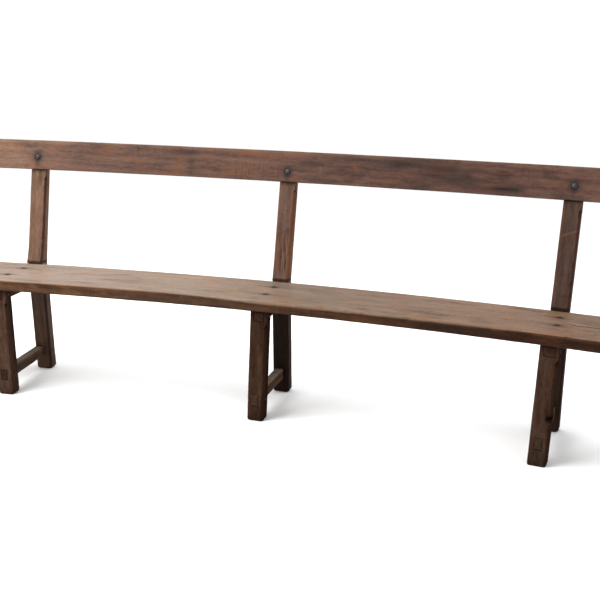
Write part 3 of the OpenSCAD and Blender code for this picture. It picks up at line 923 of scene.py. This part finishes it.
RAIL_STAINS = [(-0.373, 0.090, 0.035, 0.010, 0.55), (-0.432, 0.087, 0.035, 0.008, 0.35),
               (-0.377, 0.040, 0.014, 0.040, 0.40), (-0.274, 0.033, 0.022, 0.010, 0.45),
               (0.120, 0.077, 0.06, 0.007, 0.35), (0.267, 0.100, 0.09, 0.012, 0.45),
               (0.360, 0.075, 0.07, 0.018, 0.40), (0.530, 0.060, 0.05, 0.040, 0.45),
               (0.638, 0.045, 0.05, 0.030, 0.45), (0.815, 0.022, 0.045, 0.012, 0.70),
               (0.700, 0.020, 0.05, 0.012, 0.30), (0.966, 0.010, 0.03, 0.014, 0.40),
               (-0.83, 0.060, 0.03, 0.020, 0.15), (0.46, 0.095, 0.06, 0.015, 0.30),
               (0.41, 0.085, 0.04, 0.02, 0.35), (0.60, 0.075, 0.03, 0.03, 0.35),
               (0.93, 0.075, 0.03, 0.012, 0.30), (-0.48, 0.070, 0.06, 0.02, 0.22)]
BOLT_STAINS = [(0.0, 0.0, 0.017, 0.017, 1.0), (0.0, -0.026, 0.010, 0.022, 0.40),
               (0.0, 0.0, 0.036, 0.024, 0.22), (0.010, 0.020, 0.026, 0.006, 0.30)]
RAIL_DENT = [(0.0688, 0.0537, 0.0022, 0.008, 0.0008)]


def back_rail():
    """The back rail: blotched red-brown oak, its upper arris worn light and a band along its top painted
    light as a highlight, dark about the bolts.
    """
    along = plank_stations()
    columns, cores = split_columns(even(26), [RAIL_SPLIT], 0.0, RAIL_W)
    front = follow_splits(columns, [RAIL_SPLIT], cores, 0.0, RAIL_W, along)
    sizes = worn_corners(along, -SEAT_LEN / 2, SEAT_LEN / 2, 21,
                         [(size, chips, DEEP_CHIP, (), SWING) for size, chips in
                          ((0.0030, 26), (0.0028, 12), (0.0024, 12), (0.0024, 22))])
    shrink = end_round(along)
    width = RAIL_W - 2 * shrink
    depth = RAIL_T - 2 * shrink
    loop, wear_and_sheen = section(width, depth, sizes, [rounding] * 4, [front, even(6), even(22), even(6)])
    loop = weather(loop, along, 29, 0.0008, 0.00025, 0.00015)
    h = loop[..., 0] + RAIL_W / 2
    d = loop[..., 1] + shrink[:, None]
    s = np.broadcast_to(along[:, None], h.shape)
    is_front = loop[..., 1] < 0.004
    sunk = (split_depth(h, s, [RAIL_SPLIT]) + spots(s, h, RAIL_DENT)) * is_front
    d = d + sunk
    stain = spots(s, h, RAIL_STAINS)
    for timber in FRAMES.values():
        stain = stain + spots(s - timber["at"], h - timber["bolt_up"], BOLT_STAINS)
    stain = np.clip(stain * is_front, 0, 0.85)
    dirt_and_shade = np.clip(sunk / 0.003, 0, 1) * 0.9 * (s > 0.9)
    dirt_and_shade = np.maximum(dirt_and_shade, spots(s, h, RAIL_SMUTS) * is_front)
    wear_and_sheen = wear_and_sheen * np.where(h > RAIL_W / 2, 1.0, 0.35)
    # Painted highlight: a light band along the rail's top, stronger towards the right.
    crest_highlight = np.clip((h - RAIL_W + 0.018) / 0.012, 0, 1) * (0.62 + 0.36 * np.clip(s / 0.3, 0, 1))
    wear_and_sheen = np.maximum(wear_and_sheen, crest_highlight)
    wear_and_sheen = np.maximum(wear_and_sheen, spots(s, h, RAIL_FLECKS) * is_front)
    grain = np.stack([s, h + 0.4, d], -1)
    fields = {"grain": grain, "wear_and_sheen": wear_and_sheen, "dirt_and_shade": dirt_and_shade, "stain": stain}
    piece = show(loft("worn_back_rail", place(s, 0.0, *tilted(d, h)), fields), rail_oak)
    drill(piece, [(*bolt_line(timber, -0.01, RAIL_T + 0.02), RAIL_HOLE_R)
                  for timber in FRAMES.values()])
    return declare(piece, "rail_board", "back_rail")


# ---------------------------------------------------------------- frames
def bolt_line(timber, near, far):
    """Two points on a frame's bolt axis, given by their depths behind the rail's front face."""
    return [point_at(timber["at"], 0.0, *tilted(depth, timber["bolt_up"])) for depth in (near, far)]


def subdivide(keys, step):
    """Stations between key lines (front r, front z, back r, back z), at most step apart."""
    rows = [np.array(keys[0])]
    for start, end in zip(keys, keys[1:]):
        start, end = np.array(start), np.array(end)
        run = max(math.hypot(*(end - start)[:2]), math.hypot(*(end - start)[2:]))
        parts = max(1, math.ceil(run / step))
        rows += [start + (end - start) * k / parts for k in range(1, parts + 1)]
    return np.array(rows)


def stopped(height, spans, run_low, run_high):
    """From 0 to 1: where a chamfer is full along a timber, with its run-outs."""
    full = np.zeros(len(height))
    for low, high in spans:
        rise = np.clip((height - low) / run_low, 0, 1)
        fall = np.clip((high - height) / run_high, 0, 1)
        full = np.maximum(full, np.sqrt(np.minimum(rise, fall)))
    return full


def foot_shrink(height, radius):
    """How far each side draws in at a worn foot."""
    inside = np.clip(height, 0, radius)
    return radius - np.sqrt(np.maximum(radius ** 2 - (radius - inside) ** 2, 0))


TIMBER_STEP = 0.004
# Each timber's grain is moved by its seed times these, so that no two show the same figure.
RUN_SHIFT = 0.37
GRAIN_SHIFT = 0.11
BAR_SHIFT = (0.41, 0.13, 0.0)
FRONT_COLUMNS = 25
FOOT_HEIGHTS = (0.0, 0.0004, 0.0014, 0.003, 0.0055, 0.0085, 0.012)


def timber_mesh(timber, rows, width, centre_u, chamfers, seed, extra_nicks=(), foot=0.0):
    """Points, fields and heights of an upright timber through lines (front r and z, back r and z)."""
    front, back = rows[:, :2], rows[:, 2:]
    height = (front[:, 1] + back[:, 1]) / 2
    along = np.concatenate([[0], np.cumsum(np.hypot(*np.diff((front + back) / 2, axis=0).T))])
    depth = np.hypot(*(back - front).T)
    side_in = foot_shrink(height, FOOT_ROUND) * foot
    face_in = foot_shrink(height, FOOT_EASE) * foot
    arris = WORN_ARRIS + (timber["arris"] - WORN_ARRIS) * chamfers
    sizes = worn_corners(along, 0, along[-1], seed, [
        (arris, 4, DEEP_CHIP, extra_nicks, 0.16),
        (0.0026, 4, DEEP_CHIP, (), SWING),
        (0.0026, 4, DEEP_CHIP, (), SWING),
        (0.0024, 5, DEEP_CHIP, (), SWING)])
    faces = [even(FRONT_COLUMNS), even(9), even(11), even(9)]
    loop, wear_and_sheen = section(width - 2 * side_in, depth - 2 * face_in, sizes,
                         [chamfer, rounding, rounding, rounding], faces)
    loop = weather(loop, along, seed + 8, 0.0005, 0.0002, 0.0001)
    share = (loop[..., 1] + face_in[:, None]) / depth[:, None]
    r = front[:, None, 0] + (back - front)[:, None, 0] * share
    z = front[:, None, 1] + (back - front)[:, None, 1] * share
    u = centre_u[:, None] + loop[..., 0]
    near_floor = np.clip(1 - height / 0.05, 0, 1)[:, None]
    run = np.broadcast_to(along[:, None], u.shape)
    grain = np.stack([run + seed * RUN_SHIFT, u + seed * GRAIN_SHIFT, loop[..., 1]], -1)
    low_stop = np.diff(chamfers, prepend=chamfers[0]) < -0.2
    stop = np.exp(-np.abs(along[:, None] - along[low_stop][None]) / 0.008).max(1, initial=0.0)
    bevel = np.zeros(u.shape)
    dirt_and_shade = 0.35 * np.broadcast_to(near_floor, u.shape) ** 2
    columns = slice(FRONT_COLUMNS, FRONT_COLUMNS + CORNER_POINTS)
    bevel[:, columns] = chamfers[:, None]
    dirt_and_shade[:, columns] = np.maximum(dirt_and_shade[:, columns], 0.95 * stop[:, None])
    fields = {"grain": grain, "wear_and_sheen": wear_and_sheen, "dirt_and_shade": dirt_and_shade, "bevel": bevel}
    return place(timber["at"], u, r, z), fields, height


def bar_axis(timber, name):
    """Sideways places of a bar's axis at the leg and at the post."""
    if name == "bearer":
        return timber["leg_top_u"], 0.0
    return timber["bar_front_u"], timber["bar_back_u"]


def bar_u(timber, name, r):
    """Sideways place of a bar's axis at distance r behind the seat's back edge."""
    front_u, back_u = bar_axis(timber, name)
    return back_u + (front_u - back_u) * -r / LEG_TOP


def leg_u(timber, z):
    """Sideways place of a front leg's centre line at height z."""
    lift = z / SEAT_UNDER
    return timber["leg_foot_u"] + (timber["leg_top_u"] - timber["leg_foot_u"]) * lift


def peg_places(timber, name):
    """The pegs of a bar's two joints, as (middle u, r, z, timber width)."""
    bar = BARS[name]
    z = bar["tenon_z"] + bar["tenon_h"] / 2
    return [(leg_u(timber, z), leg_face(z) + LEG_D / 2, z, LEG_W),
            (0.0, rear_face(z) + POST_SEAT_D / 2, z, POST_W)]


def peg_hole(timber, radius, u, r, z, width):
    """A peg's hole, from well past one side of the timber to well past the other."""
    return (point_at(timber["at"], u - width, r, z), point_at(timber["at"], u + width, r, z), radius)


# How far a bar's tenons stand proud of the leg and the post.
PROUD = 0.0006
# How far back the cuts for the through mortises run, in the leg and in the post.
MORTISE_REACH = ((-0.36, -0.20), (-0.02, 0.13))


def cut_joints(piece, timber, end):
    """Cuts a frame timber's mortises and peg holes. end is 0 for the leg and 1 for the post."""
    work = bmesh.new()
    for name, bar in BARS.items():
        z = bar["tenon_z"] + bar["tenon_h"] / 2
        low, high = (point_at(timber["at"], bar_u(timber, name, r), r, z) for r in MORTISE_REACH[end])
        width, height = (bar[key] + 2 * JOINT_GAP for key in ("tenon_w", "tenon_h"))
        bar_cutter(work, low, high, width, height)
    carve(piece, work)
    drill(piece, [peg_hole(timber, PEG_R + 0.0004, *peg_places(timber, name)[end]) for name in BARS])


def sideways(fields, seed):
    """Sideways places u of a timber's points, taken from its grain."""
    return fields["grain"][..., 1] - seed * GRAIN_SHIFT


def torn_grain(points, fields, height, seed):
    """Splinters torn from the middle post's front, low on its right: grooves and raw ridges."""
    u = sideways(fields, seed)
    low, high = SHOULDER_Z + 0.012, SHOULDER_Z + 0.190
    tall = hump((height - (low + high) / 2) / ((high - low) / 2))[:, None] ** 0.5
    wide = np.clip((u + 0.012) / 0.010, 0, 1) * np.clip((0.024 - u) / 0.003, 0, 1)
    face = np.clip(1 - fields["grain"][..., 2] / 0.003, 0, 1)
    drift = u + 0.006 * (height[:, None] - low) / (high - low)
    rip = noise(drift / 0.0036, height[:, None] / 0.075, 0.0, seed + 31) + 0.5 * noise(
        drift / 0.0022, height[:, None] / 0.030, 0.0, seed + 32)
    groove = np.clip(rip - 0.05, 0, 0.5) / 0.5 * tall * wide * face
    ridge = np.clip(-rip, 0, 0.5) / 0.5 * tall * wide * face
    points[..., 1] += 0.0016 * groove
    raise_mask(fields, "dirt_and_shade", 0.85 * groove)
    raise_mask(fields, "wear_and_sheen", 1.3 * ridge)


def rear_post(side, seed):
    """A rear post: splayed foot, notch behind the seat, flared shoulder, and lap for the rail."""
    timber = FRAMES[side]
    flare = timber["flare"]
    foot = [(rear_face(z), z, post_back(z), z) for z in FOOT_HEIGHTS]

    def upper_back(z):
        low = (POST_LINE + POST_SEAT_D, SEAT_TOP)
        high = tilted(POST_REAR, 0)
        return low[0] + (high[0] - low[0]) * (z - low[1]) / (high[1] - low[1]), z

    keys = foot + [(0.0, SEAT_UNDER, post_back(SEAT_UNDER), SEAT_UNDER),
                   (0.0, SEAT_TOP, POST_LINE + POST_SEAT_D, SEAT_TOP - 0.003),
                   (0.0, SHOULDER_Z - 0.0006, *upper_back(SHOULDER_Z - 0.003)),
                   (-flare + 0.0012, SHOULDER_Z, *upper_back(SHOULDER_Z - 0.002)),
                   (-flare + 0.0003, SHOULDER_Z + 0.0005, *upper_back(SHOULDER_Z - 0.001)),
                   (-flare, SHOULDER_Z + 0.0015, *upper_back(SHOULDER_Z))]
    for part in np.linspace(0, 1, 13)[1:]:
        z = SHOULDER_Z + 0.0015 + part * (FLARE_H - 0.0015)
        swell = (post_face(SHOULDER_Z) + flare) * (1 - part) ** 2
        keys.append((post_face(z) - swell, z, *upper_back(z - 0.002 * part)))
    # From the rail's lower edge up: depths and heights of the front line and of the back line.
    for lap in ((RAIL_PROUD, -0.0012, POST_REAR, -0.002),
                (RAIL_PROUD + 0.0008, -0.0003, POST_REAR, -0.0012),
                (RAIL_T, 0, POST_REAR, 0),
                (RAIL_T, POST_UP - 0.0025, POST_REAR, POST_UP - 0.0025),
                (RAIL_T + 0.0004, POST_UP - 0.0008, POST_REAR - 0.0007, POST_UP - 0.0008),
                (RAIL_T + 0.0015, POST_UP, POST_REAR - 0.0022, POST_UP)):
        keys.append((*tilted(*lap[:2]), *tilted(*lap[2:])))
    rows = subdivide(keys, TIMBER_STEP)
    spans = [(-1.0, SEAT_UNDER - STOP_UNDER_SEAT), (SHOULDER_Z + 0.003, RAIL_BOTTOM - STOP_UNDER_RAIL)]
    full = stopped(rows[:, 1], spans, 0.004, 0.0022)
    points, fields, height = timber_mesh(timber, rows, POST_W, np.zeros(len(rows)), full, seed,
                                         foot=1.0)
    # Painted shade: a dark band on the post just above the seat stands for the shadow at its shoulder, a
    # dark band at the rail's lower edge for the rail's shadow, and the post below the seat is painted dark
    # as the seat's shade.
    shoulder_shadow = 0.80 * np.clip((SHOULDER_Z + 0.011 - height) / 0.003, 0, 1) * (height > SHOULDER_Z)
    shade = shoulder_shadow + 0.9 * bell((height - RAIL_BOTTOM) / 0.005)
    under = timber["under_seat_shade"] * np.clip((SEAT_TOP - height) / 0.02, 0, 1)
    shade = np.maximum(np.clip(shade, 0, 0.85), under)
    raise_mask(fields, "dirt_and_shade", shade[:, None])
    if side == "middle":
        torn_grain(points, fields, height, seed)
    if side == "right":
        # Pale scratches across its front, rising to the right: (height, strength, reach).
        u = sideways(fields, seed)
        for low, strength, reach in ((0.695, 0.9, 0.028), (0.655, 0.5, 0.004)):
            line = height[:, None] - (low + 0.41 * (u + 0.024))
            raise_mask(fields, "wear_and_sheen", strength * bell(line / 0.0030) * (np.abs(u) < reach))
    piece = show(loft(f"worn_{side}_rear_post", points, fields), post_oaks[side])
    cut_joints(piece, timber, 1)
    drill(piece, [(*bolt_line(timber, RAIL_T - 0.01, POST_REAR + 0.02), POST_HOLE_R)])
    return declare(piece, "post_timber", f"{side}_rear_post")


RIGHT_LEG_CHIP = [(0.165, 0.012, 0.009), (0.172, 0.022, 0.003)]


def front_leg(side, seed):
    """A front leg: squared timber, one corner chamfered, with a worn foot."""
    timber = FRAMES[side]
    keys = [(leg_face(z), z, leg_face(z) + LEG_D, z)
            for z in (*FOOT_HEIGHTS, SEAT_UNDER - 0.0015, SEAT_UNDER)]
    rows = subdivide(keys, TIMBER_STEP)
    centre = leg_u(timber, rows[:, 1])
    full = stopped(rows[:, 1], [(-1.0, SEAT_UNDER - STOP_UNDER_SEAT)], RUN_OUT, 0.004)
    nicks = RIGHT_LEG_CHIP if side == "right" else ()
    points, fields, height = timber_mesh(timber, rows, LEG_W, centre, full, seed, nicks,
                                         timber["foot_wear"])
    # Painted shade: the leg darkens towards its top under the seat, and its sides and back are painted
    # darker than its front.
    under = np.clip((height - SEAT_UNDER + 0.05) / 0.05, 0, 1) ** 2
    raise_mask(fields, "dirt_and_shade", 0.6 * under[:, None])
    raise_mask(fields, "dirt_and_shade", 0.40 * np.clip(fields["grain"][..., 2] / 0.008 - 1, 0, 1))
    if side == "right":
        # The chip out of its right corner is painted dark as the shade in its hollow, with a pale edge
        # below it.
        u = sideways(fields, seed)
        raise_mask(fields, "dirt_and_shade", bell((height[:, None] - 0.168) / 0.011) * (u > 0.019))
        raise_mask(fields, "wear_and_sheen", 1.4 * bell((height[:, None] - 0.150) / 0.004) * (u > 0.019))
    piece = show(loft(f"worn_{side}_front_leg", points, fields), leg_oaks[side])
    cut_joints(piece, timber, 0)
    return declare(piece, "leg_timber", f"{side}_front_leg")


def cross_bar(side, name, seed):
    """A bearer or stretcher with its two through tenons, whose ends show on leg and post."""
    timber, bar = FRAMES[side], BARS[name]
    z_low, z_high = bar["z"], bar["z"] + bar["h"]
    tenon_low, tenon_high = bar["tenon_z"], bar["tenon_z"] + bar["tenon_h"]

    def leg_rear(z):
        return leg_face(z) + LEG_D

    # Sections from front to back: a face, how far behind it, 1 on the bar's body, and growth.
    sections = [(leg_face, -PROUD, 0, -0.0012), (leg_face, -PROUD + 0.0008, 0, -0.0003),
                (leg_face, -PROUD + 0.002, 0, 0.0), (leg_rear, -0.0004, 0, 0.0),
                (leg_rear, -0.0002, 1, 0.0), (rear_face, 0.0002, 1, 0.0),
                (rear_face, 0.0004, 0, 0.0), (post_back, PROUD - 0.002, 0, 0.0),
                (post_back, PROUD - 0.0008, 0, -0.0003), (post_back, PROUD, 0, -0.0012)]
    rows = []
    for face, shift, body, grow in sections:
        low, high = (z_low, z_high) if body else (tenon_low, tenon_high)
        rows.append((face(low) + shift, face(high) + shift, body, grow))
    filled = [rows[0]]
    for start, end in zip(rows, rows[1:]):
        parts = max(1, math.ceil((end[0] - start[0]) / STATION)) if start[2] == end[2] else 1
        for k in range(1, parts + 1):
            filled.append(tuple(a + (b - a) * k / parts for a, b in zip(start, end)))
    r_low, r_high, body, grow = (np.array(column) for column in zip(*filled))
    width = np.where(body > 0.5, bar["w"], bar["tenon_w"]) + 2 * grow
    low = np.where(body > 0.5, z_low, tenon_low) - grow
    high = np.where(body > 0.5, z_high, tenon_high) + grow
    along = (r_low + r_high) / 2
    size = np.where(body > 0.5, 0.0026, 0.0012)
    chips = {k: scattered_nicks(-0.25, 0.0, 5, seed + 10 + k, 0.0015) for k in (1, 2)}
    sizes = [worn(size, along, seed + k, chips.get(k, ())) for k in range(4)]
    loop, wear_and_sheen = section(width, high - low, sizes, [rounding] * 4, [even(8), even(9), even(8), even(9)])
    loop = weather(loop, along, seed + 5, 0.0006, 0.0002, 0.0002)
    z = low[:, None] + loop[..., 1]
    share = loop[..., 1] / (high - low)[:, None]
    r = r_low[:, None] + (r_high - r_low)[:, None] * share
    u = bar_u(timber, name, r) + loop[..., 0]
    is_stretcher = name == "stretcher"
    pale = np.clip((z - z_high + 0.004) / 0.003, 0, 1) * (body > 0.5)[:, None] * is_stretcher
    # Darker near the shoulders where the bar meets the leg and the post: dirt and painted shade.
    joint = np.minimum(np.abs(along - leg_rear(bar["z"])), np.abs(along - rear_face(bar["z"])))
    dirt_and_shade = 0.75 * np.exp(-joint / 0.006)[:, None] * np.ones(u.shape)
    dirt_and_shade = np.maximum(dirt_and_shade, timber["tenon_grime"] * (body < 0.5)[:, None])
    grain = np.stack([r, u, z], -1) + seed * np.array(BAR_SHIFT)
    tenon_end = (body < 0.5)[:, None] * np.ones(u.shape) * is_stretcher
    fields = {"grain": grain, "wear_and_sheen": wear_and_sheen * 0.8, "dirt_and_shade": dirt_and_shade, "pale": pale, "bevel": tenon_end}
    mesh = loft(f"worn_{side}_{name}", place(timber["at"], u, r, z), fields)
    piece = show(mesh, bar_oak if is_stretcher else leg_oaks[side])
    holes = [peg_hole(timber, PEG_R + 0.0003, *peg) for peg in peg_places(timber, name)]
    if name == "bearer":
        holes += [(point_at(at, 0.0, back, SEAT_UNDER - 0.05), point_at(at, 0.0, back, SEAT_TOP),
                   NAIL_HOLE_R) for at, back in nail_spots(timber)]
    drill(piece, holes)
    return declare(piece, f"{name}_timber", f"{side}_{name}")


# ---------------------------------------------------------------- pegs, nails and bolts
def turned(profile, sides, wobble=0.0, seed=0):
    """Rings of points of a turned solid: profile is (radius, height) from end to end."""
    angle = np.arange(sides) * 2 * math.pi / sides
    radius, height = (np.array(column)[:, None] for column in zip(*profile))
    uneven = noise(np.cos(angle) * 1.3, np.sin(angle) * 1.3, height / 0.004, seed)
    radius = radius * (1 + wobble * uneven)
    return np.stack(np.broadcast_arrays(radius * np.cos(angle), radius * np.sin(angle), height), -1)


def skin(work, points, matrix, looped=False):
    """Adds rings of points to a bmesh as a closed solid: capped, or looped back to the first."""
    rings = [[work.verts.new(matrix @ Vector(p)) for p in ring] for ring in points]
    count = len(rings[0])
    for low, high in zip(rings, rings[1:] + rings[:1] * looped):
        for k in range(count):
            work.faces.new((low[k], low[(k + 1) % count], high[(k + 1) % count], high[k]))
    if not looped:
        work.faces.new(rings[0][::-1])
        work.faces.new(rings[-1])


def peg_pair(side, name, seed):
    """The two pegs that lock a bar's tenons, riven oak with slightly uneven, proud ends."""
    timber = FRAMES[side]
    across, back = frame_axes(timber)
    work = bmesh.new()
    for k, (u, r, z, width) in enumerate(peg_places(timber, name)):
        half = width / 2 + 0.001
        profile = [(PEG_R * 0.5, -half), (PEG_R * 0.86, -half + 0.0003), (PEG_R * 0.985, -half + 0.0012)]
        profile += [(PEG_R * 0.99, t) for t in np.linspace(-half + 0.004, half - 0.004, 9)]
        profile += [(PEG_R * 0.985, half - 0.0012), (PEG_R * 0.86, half - 0.0003), (PEG_R * 0.5, half)]
        points = turned(profile, 20, 0.02, seed + k)
        skin(work, points, stand((UP, back, -across), point_at(timber["at"], u, r, z)))
    mesh = as_mesh(f"riven_{side}_{name}_pegs", work)
    co = np.array([v.co for v in mesh.vertices])
    store(mesh, "grain", co * (0.4, 1.0, 1.0) + seed)
    for mask in MASKS:
        store(mesh, mask, np.full(len(co), {"wear_and_sheen": 0.25, "dirt_and_shade": 0.15}.get(mask, 0.0)))
    return declare(show(mesh, peg_oak), "peg_wood", f"{side}_{name}_pegs")


def seat_nails(side, seed):
    """Two nails through the seat into the bearer, with sunk, hammered heads."""
    work = bmesh.new()
    for k, (at, back) in enumerate(nail_spots(FRAMES[side])):
        profile = [(0.0003, -NAIL_LEN - 0.003), (NAIL_SHANK_R * 0.7, -NAIL_LEN + 0.006)]
        profile += [(NAIL_SHANK_R * 0.98, t) for t in np.linspace(-NAIL_LEN + 0.02, -0.0034, 8)]
        profile += [(NAIL_HEAD_R * 0.93, -0.0030), (NAIL_HEAD_R * 0.985, -0.0022),
                    (NAIL_HEAD_R * 0.97, -0.0010), (NAIL_HEAD_R * 0.86, -0.0004),
                    (NAIL_HEAD_R * 0.55, -0.0001), (NAIL_HEAD_R * 0.2, 0.0)]
        points = turned(profile, 24, 0.03, seed + k)
        skin(work, points, Matrix.Translation(point_at(at, 0.0, back, SEAT_TOP - NAIL_SINK)))
    mesh = as_mesh(f"hammered_{side}_nails", work)
    return declare(show(mesh, nail_iron), "nail_iron", f"{side}_seat_nails")


def bolt_matrix(timber):
    """A bolt's own axes: z into the rail from its front face, at the bolt's height."""
    across, back = frame_axes(timber)
    into = back * math.cos(LEAN) - UP * math.sin(LEAN)
    return stand((across, -into.cross(across), into),
                 point_at(timber["at"], 0.0, *tilted(0, timber["bolt_up"])))


def carriage_bolt(side, seed):
    """A carriage bolt: hand-forged domed head before the rail and a threaded end behind it."""
    ball = (BOLT_HEAD_R ** 2 + BOLT_HEAD_H ** 2) / (2 * BOLT_HEAD_H)
    turn = math.asin(BOLT_HEAD_R * 0.985 / ball)
    dome = [(ball * math.sin(t), ball * (1 - math.cos(t)) - BOLT_HEAD_H)
            for t in np.linspace(0.05, turn, 12)]
    dome[0] = (0.0008, dome[0][1])
    end = POST_REAR + WASHER_T + NUT_T + BOLT_SPARE
    rim = [(BOLT_HEAD_R * 0.99, -0.0008), (BOLT_HEAD_R * 0.97, -0.0002)]
    shank = [(BOLT_R, 0.0004), (BOLT_R, 0.006), (BOLT_R, 0.02), (BOLT_R, 0.035)]
    thread = [(BOLT_R, t) for t in np.arange(end - THREAD_LEN, end - 0.0008, THREAD_PITCH / 6)]
    tip = [(BOLT_R * 0.85, end - 0.0002), (BOLT_R * 0.3, end)]
    points = turned(dome + rim + shank + thread + tip, BOLT_SIDES, 0.0, seed)
    head = len(dome) + len(rim)
    angle = np.arange(BOLT_SIDES) * 2 * math.pi / BOLT_SIDES
    lumpy = 1 + 0.022 * noise(np.cos(angle) * 1.2, np.sin(angle) * 1.2, points[:head, :, 2] / 0.003, seed)
    points[:head, :, :2] *= lumpy[..., None]
    first = head + len(shank)
    phase = (points[first:-2, :, 2] / THREAD_PITCH - angle / (2 * math.pi)) % 1.0
    cut = 1 - THREAD_DEPTH / BOLT_R * (1 - np.abs(2 * phase - 1))
    points[first:-2, :, :2] *= cut[..., None]
    work = bmesh.new()
    skin(work, points, bolt_matrix(FRAMES[side]))
    mesh = as_mesh(f"forged_{side}_bolt", work)
    return declare(show(mesh, bolt_iron), "bolt_iron", f"{side}_carriage_bolt")


def bolt_washer(side, seed):
    """The round washer behind the post, its rim eased and a little out of true."""
    hole = BOLT_R + 0.0005
    ease = 0.0005
    loop = [(hole, ease), (hole + ease, 0), (WASHER_R - ease, 0), (WASHER_R, ease),
            (WASHER_R, WASHER_T - ease), (WASHER_R - ease, WASHER_T), (hole + ease, WASHER_T),
            (hole, WASHER_T - ease)]
    return ring_piece(side, "washer", loop, POST_REAR, seed)


def bolt_nut(side, seed):
    """The square nut: chamfered corners, a bore, and faces a little uneven."""
    hole = BOLT_R + 0.0001
    half = NUT_SIDE / 2
    ease = 0.0006
    loop = [(hole, ease), (hole + ease, 0), (half - ease, 0), (half, ease), (half, NUT_T - 0.0016),
            (half - 0.0006, NUT_T - 0.0006), (half - 0.0022, NUT_T), (hole + ease, NUT_T),
            (hole, NUT_T - ease)]
    return ring_piece(side, "nut", loop, POST_REAR + WASHER_T, seed, half)


def ring_piece(side, kind, loop, base, seed, square=None):
    """A forged ring of a closed profile (radius, height): round, or square outside its bore."""
    angle = (np.arange(RING_SIDES) + 0.5) * 2 * math.pi / RING_SIDES
    hole = min(p[0] for p in loop)
    reach = 1 / np.maximum(np.abs(np.cos(angle)), np.abs(np.sin(angle)))
    reach = np.minimum(reach, CORNER_REACH)
    rings = []
    for radius, height in loop:
        out = (radius - hole) / (square - hole) if square else 0.0
        uneven = noise(np.cos(angle) * 2, np.sin(angle) * 2, height / 0.003, seed)
        around = radius * (1 + out * (reach - 1)) * (1 + 0.008 * uneven)
        rings.append(np.stack([around * np.cos(angle), around * np.sin(angle),
                               np.full(RING_SIDES, base + height)], -1))
    work = bmesh.new()
    skin(work, rings, bolt_matrix(FRAMES[side]), looped=True)
    mesh = as_mesh(f"forged_{side}_{kind}", work)
    return declare(show(mesh, bolt_iron), "bolt_iron", f"{side}_bolt_{kind}")


# ---------------------------------------------------------------- the pew
seat_plank()
back_rail()
for number, side in enumerate(FRAMES):
    seed = 100 * (number + 1)
    rear_post(side, seed)
    front_leg(side, seed + 20)
    for name in BARS:
        cross_bar(side, name, seed + 40 + len(name))
        peg_pair(side, name, seed + 60 + len(name))
    seat_nails(side, seed + 80)
    carriage_bolt(side, seed + 85)
    bolt_washer(side, seed + 90)
    bolt_nut(side, seed + 95)


# ---------------------------------------------------------------- studio
def camera():
    """The photograph's place and angle: from the right of the middle, looking left and down."""
    yaw, pitch, roll = 0.26906, 0.23235, 0.030734
    ahead = Vector((-math.sin(yaw), math.cos(yaw), 0))
    right = Vector((math.cos(yaw), math.sin(yaw), 0))
    look = ahead * math.cos(pitch) - UP * math.sin(pitch)
    top = UP * math.cos(pitch) + ahead * math.sin(pitch)
    x_axis = right * math.cos(roll) + top * math.sin(roll)
    y_axis = top * math.cos(roll) - right * math.sin(roll)
    data = bpy.data.cameras.new("camera")
    data.sensor_width = 36
    data.lens = 52.26
    made = add_object("camera", data)
    made.matrix_world = stand((x_axis, y_axis, -look), (0.921084, -2.888483, 1.13581))
    bpy.context.scene.camera = made


def area_light(name, where, aim, size, power, colour):
    """A soft square light aimed at a point."""
    data = bpy.data.lights.new(name, "AREA")
    data.size = size
    data.energy = power
    data.color = colour
    made = add_object(name, data)
    made.location = where
    made.rotation_mode = "QUATERNION"
    made.rotation_quaternion = (Vector(aim) - Vector(where)).to_track_quat("-Z", "Y")
    made.visible_camera = False


def studio():
    """A pale floor, a white horizon, and soft light from above, brightest at the left."""
    mesh = bpy.data.meshes.new("floor")
    wide, under = 30.0, -0.0003
    corners = [(-wide, -wide, under), (wide, -wide, under), (wide, wide, under), (-wide, wide, under)]
    mesh.from_pydata(corners, [], [(0, 1, 2, 3)])
    floor = add_object("floor", mesh)
    paint = Graph("floor_paint")
    paint.shader.inputs["Base Color"].default_value = (0.90, 0.90, 0.90, 1)
    paint.shader.inputs["Roughness"].default_value = 0.9
    paint.shader.inputs["Specular IOR Level"].default_value = 0.0
    mesh.materials.append(paint.material)
    world = bpy.data.worlds.new("studio")
    bpy.context.scene.world = world
    world.use_nodes = True
    back = world.node_tree.nodes["Background"]
    back.inputs[0].default_value = (1.0, 1.0, 1.0, 1)
    back.inputs[1].default_value = 1.12
    area_light("key", (-2.0, -2.2, 3.4), (-0.1, 0, 0.5), 2.2, 200, (1.0, 0.985, 0.96))
    area_light("top", (0.3, 0.3, 3.6), (0.0, 0, 0.4), 2.6, 60, (0.97, 0.985, 1.0))
    bpy.context.scene.view_settings.view_transform = "Standard"


camera()
studio()
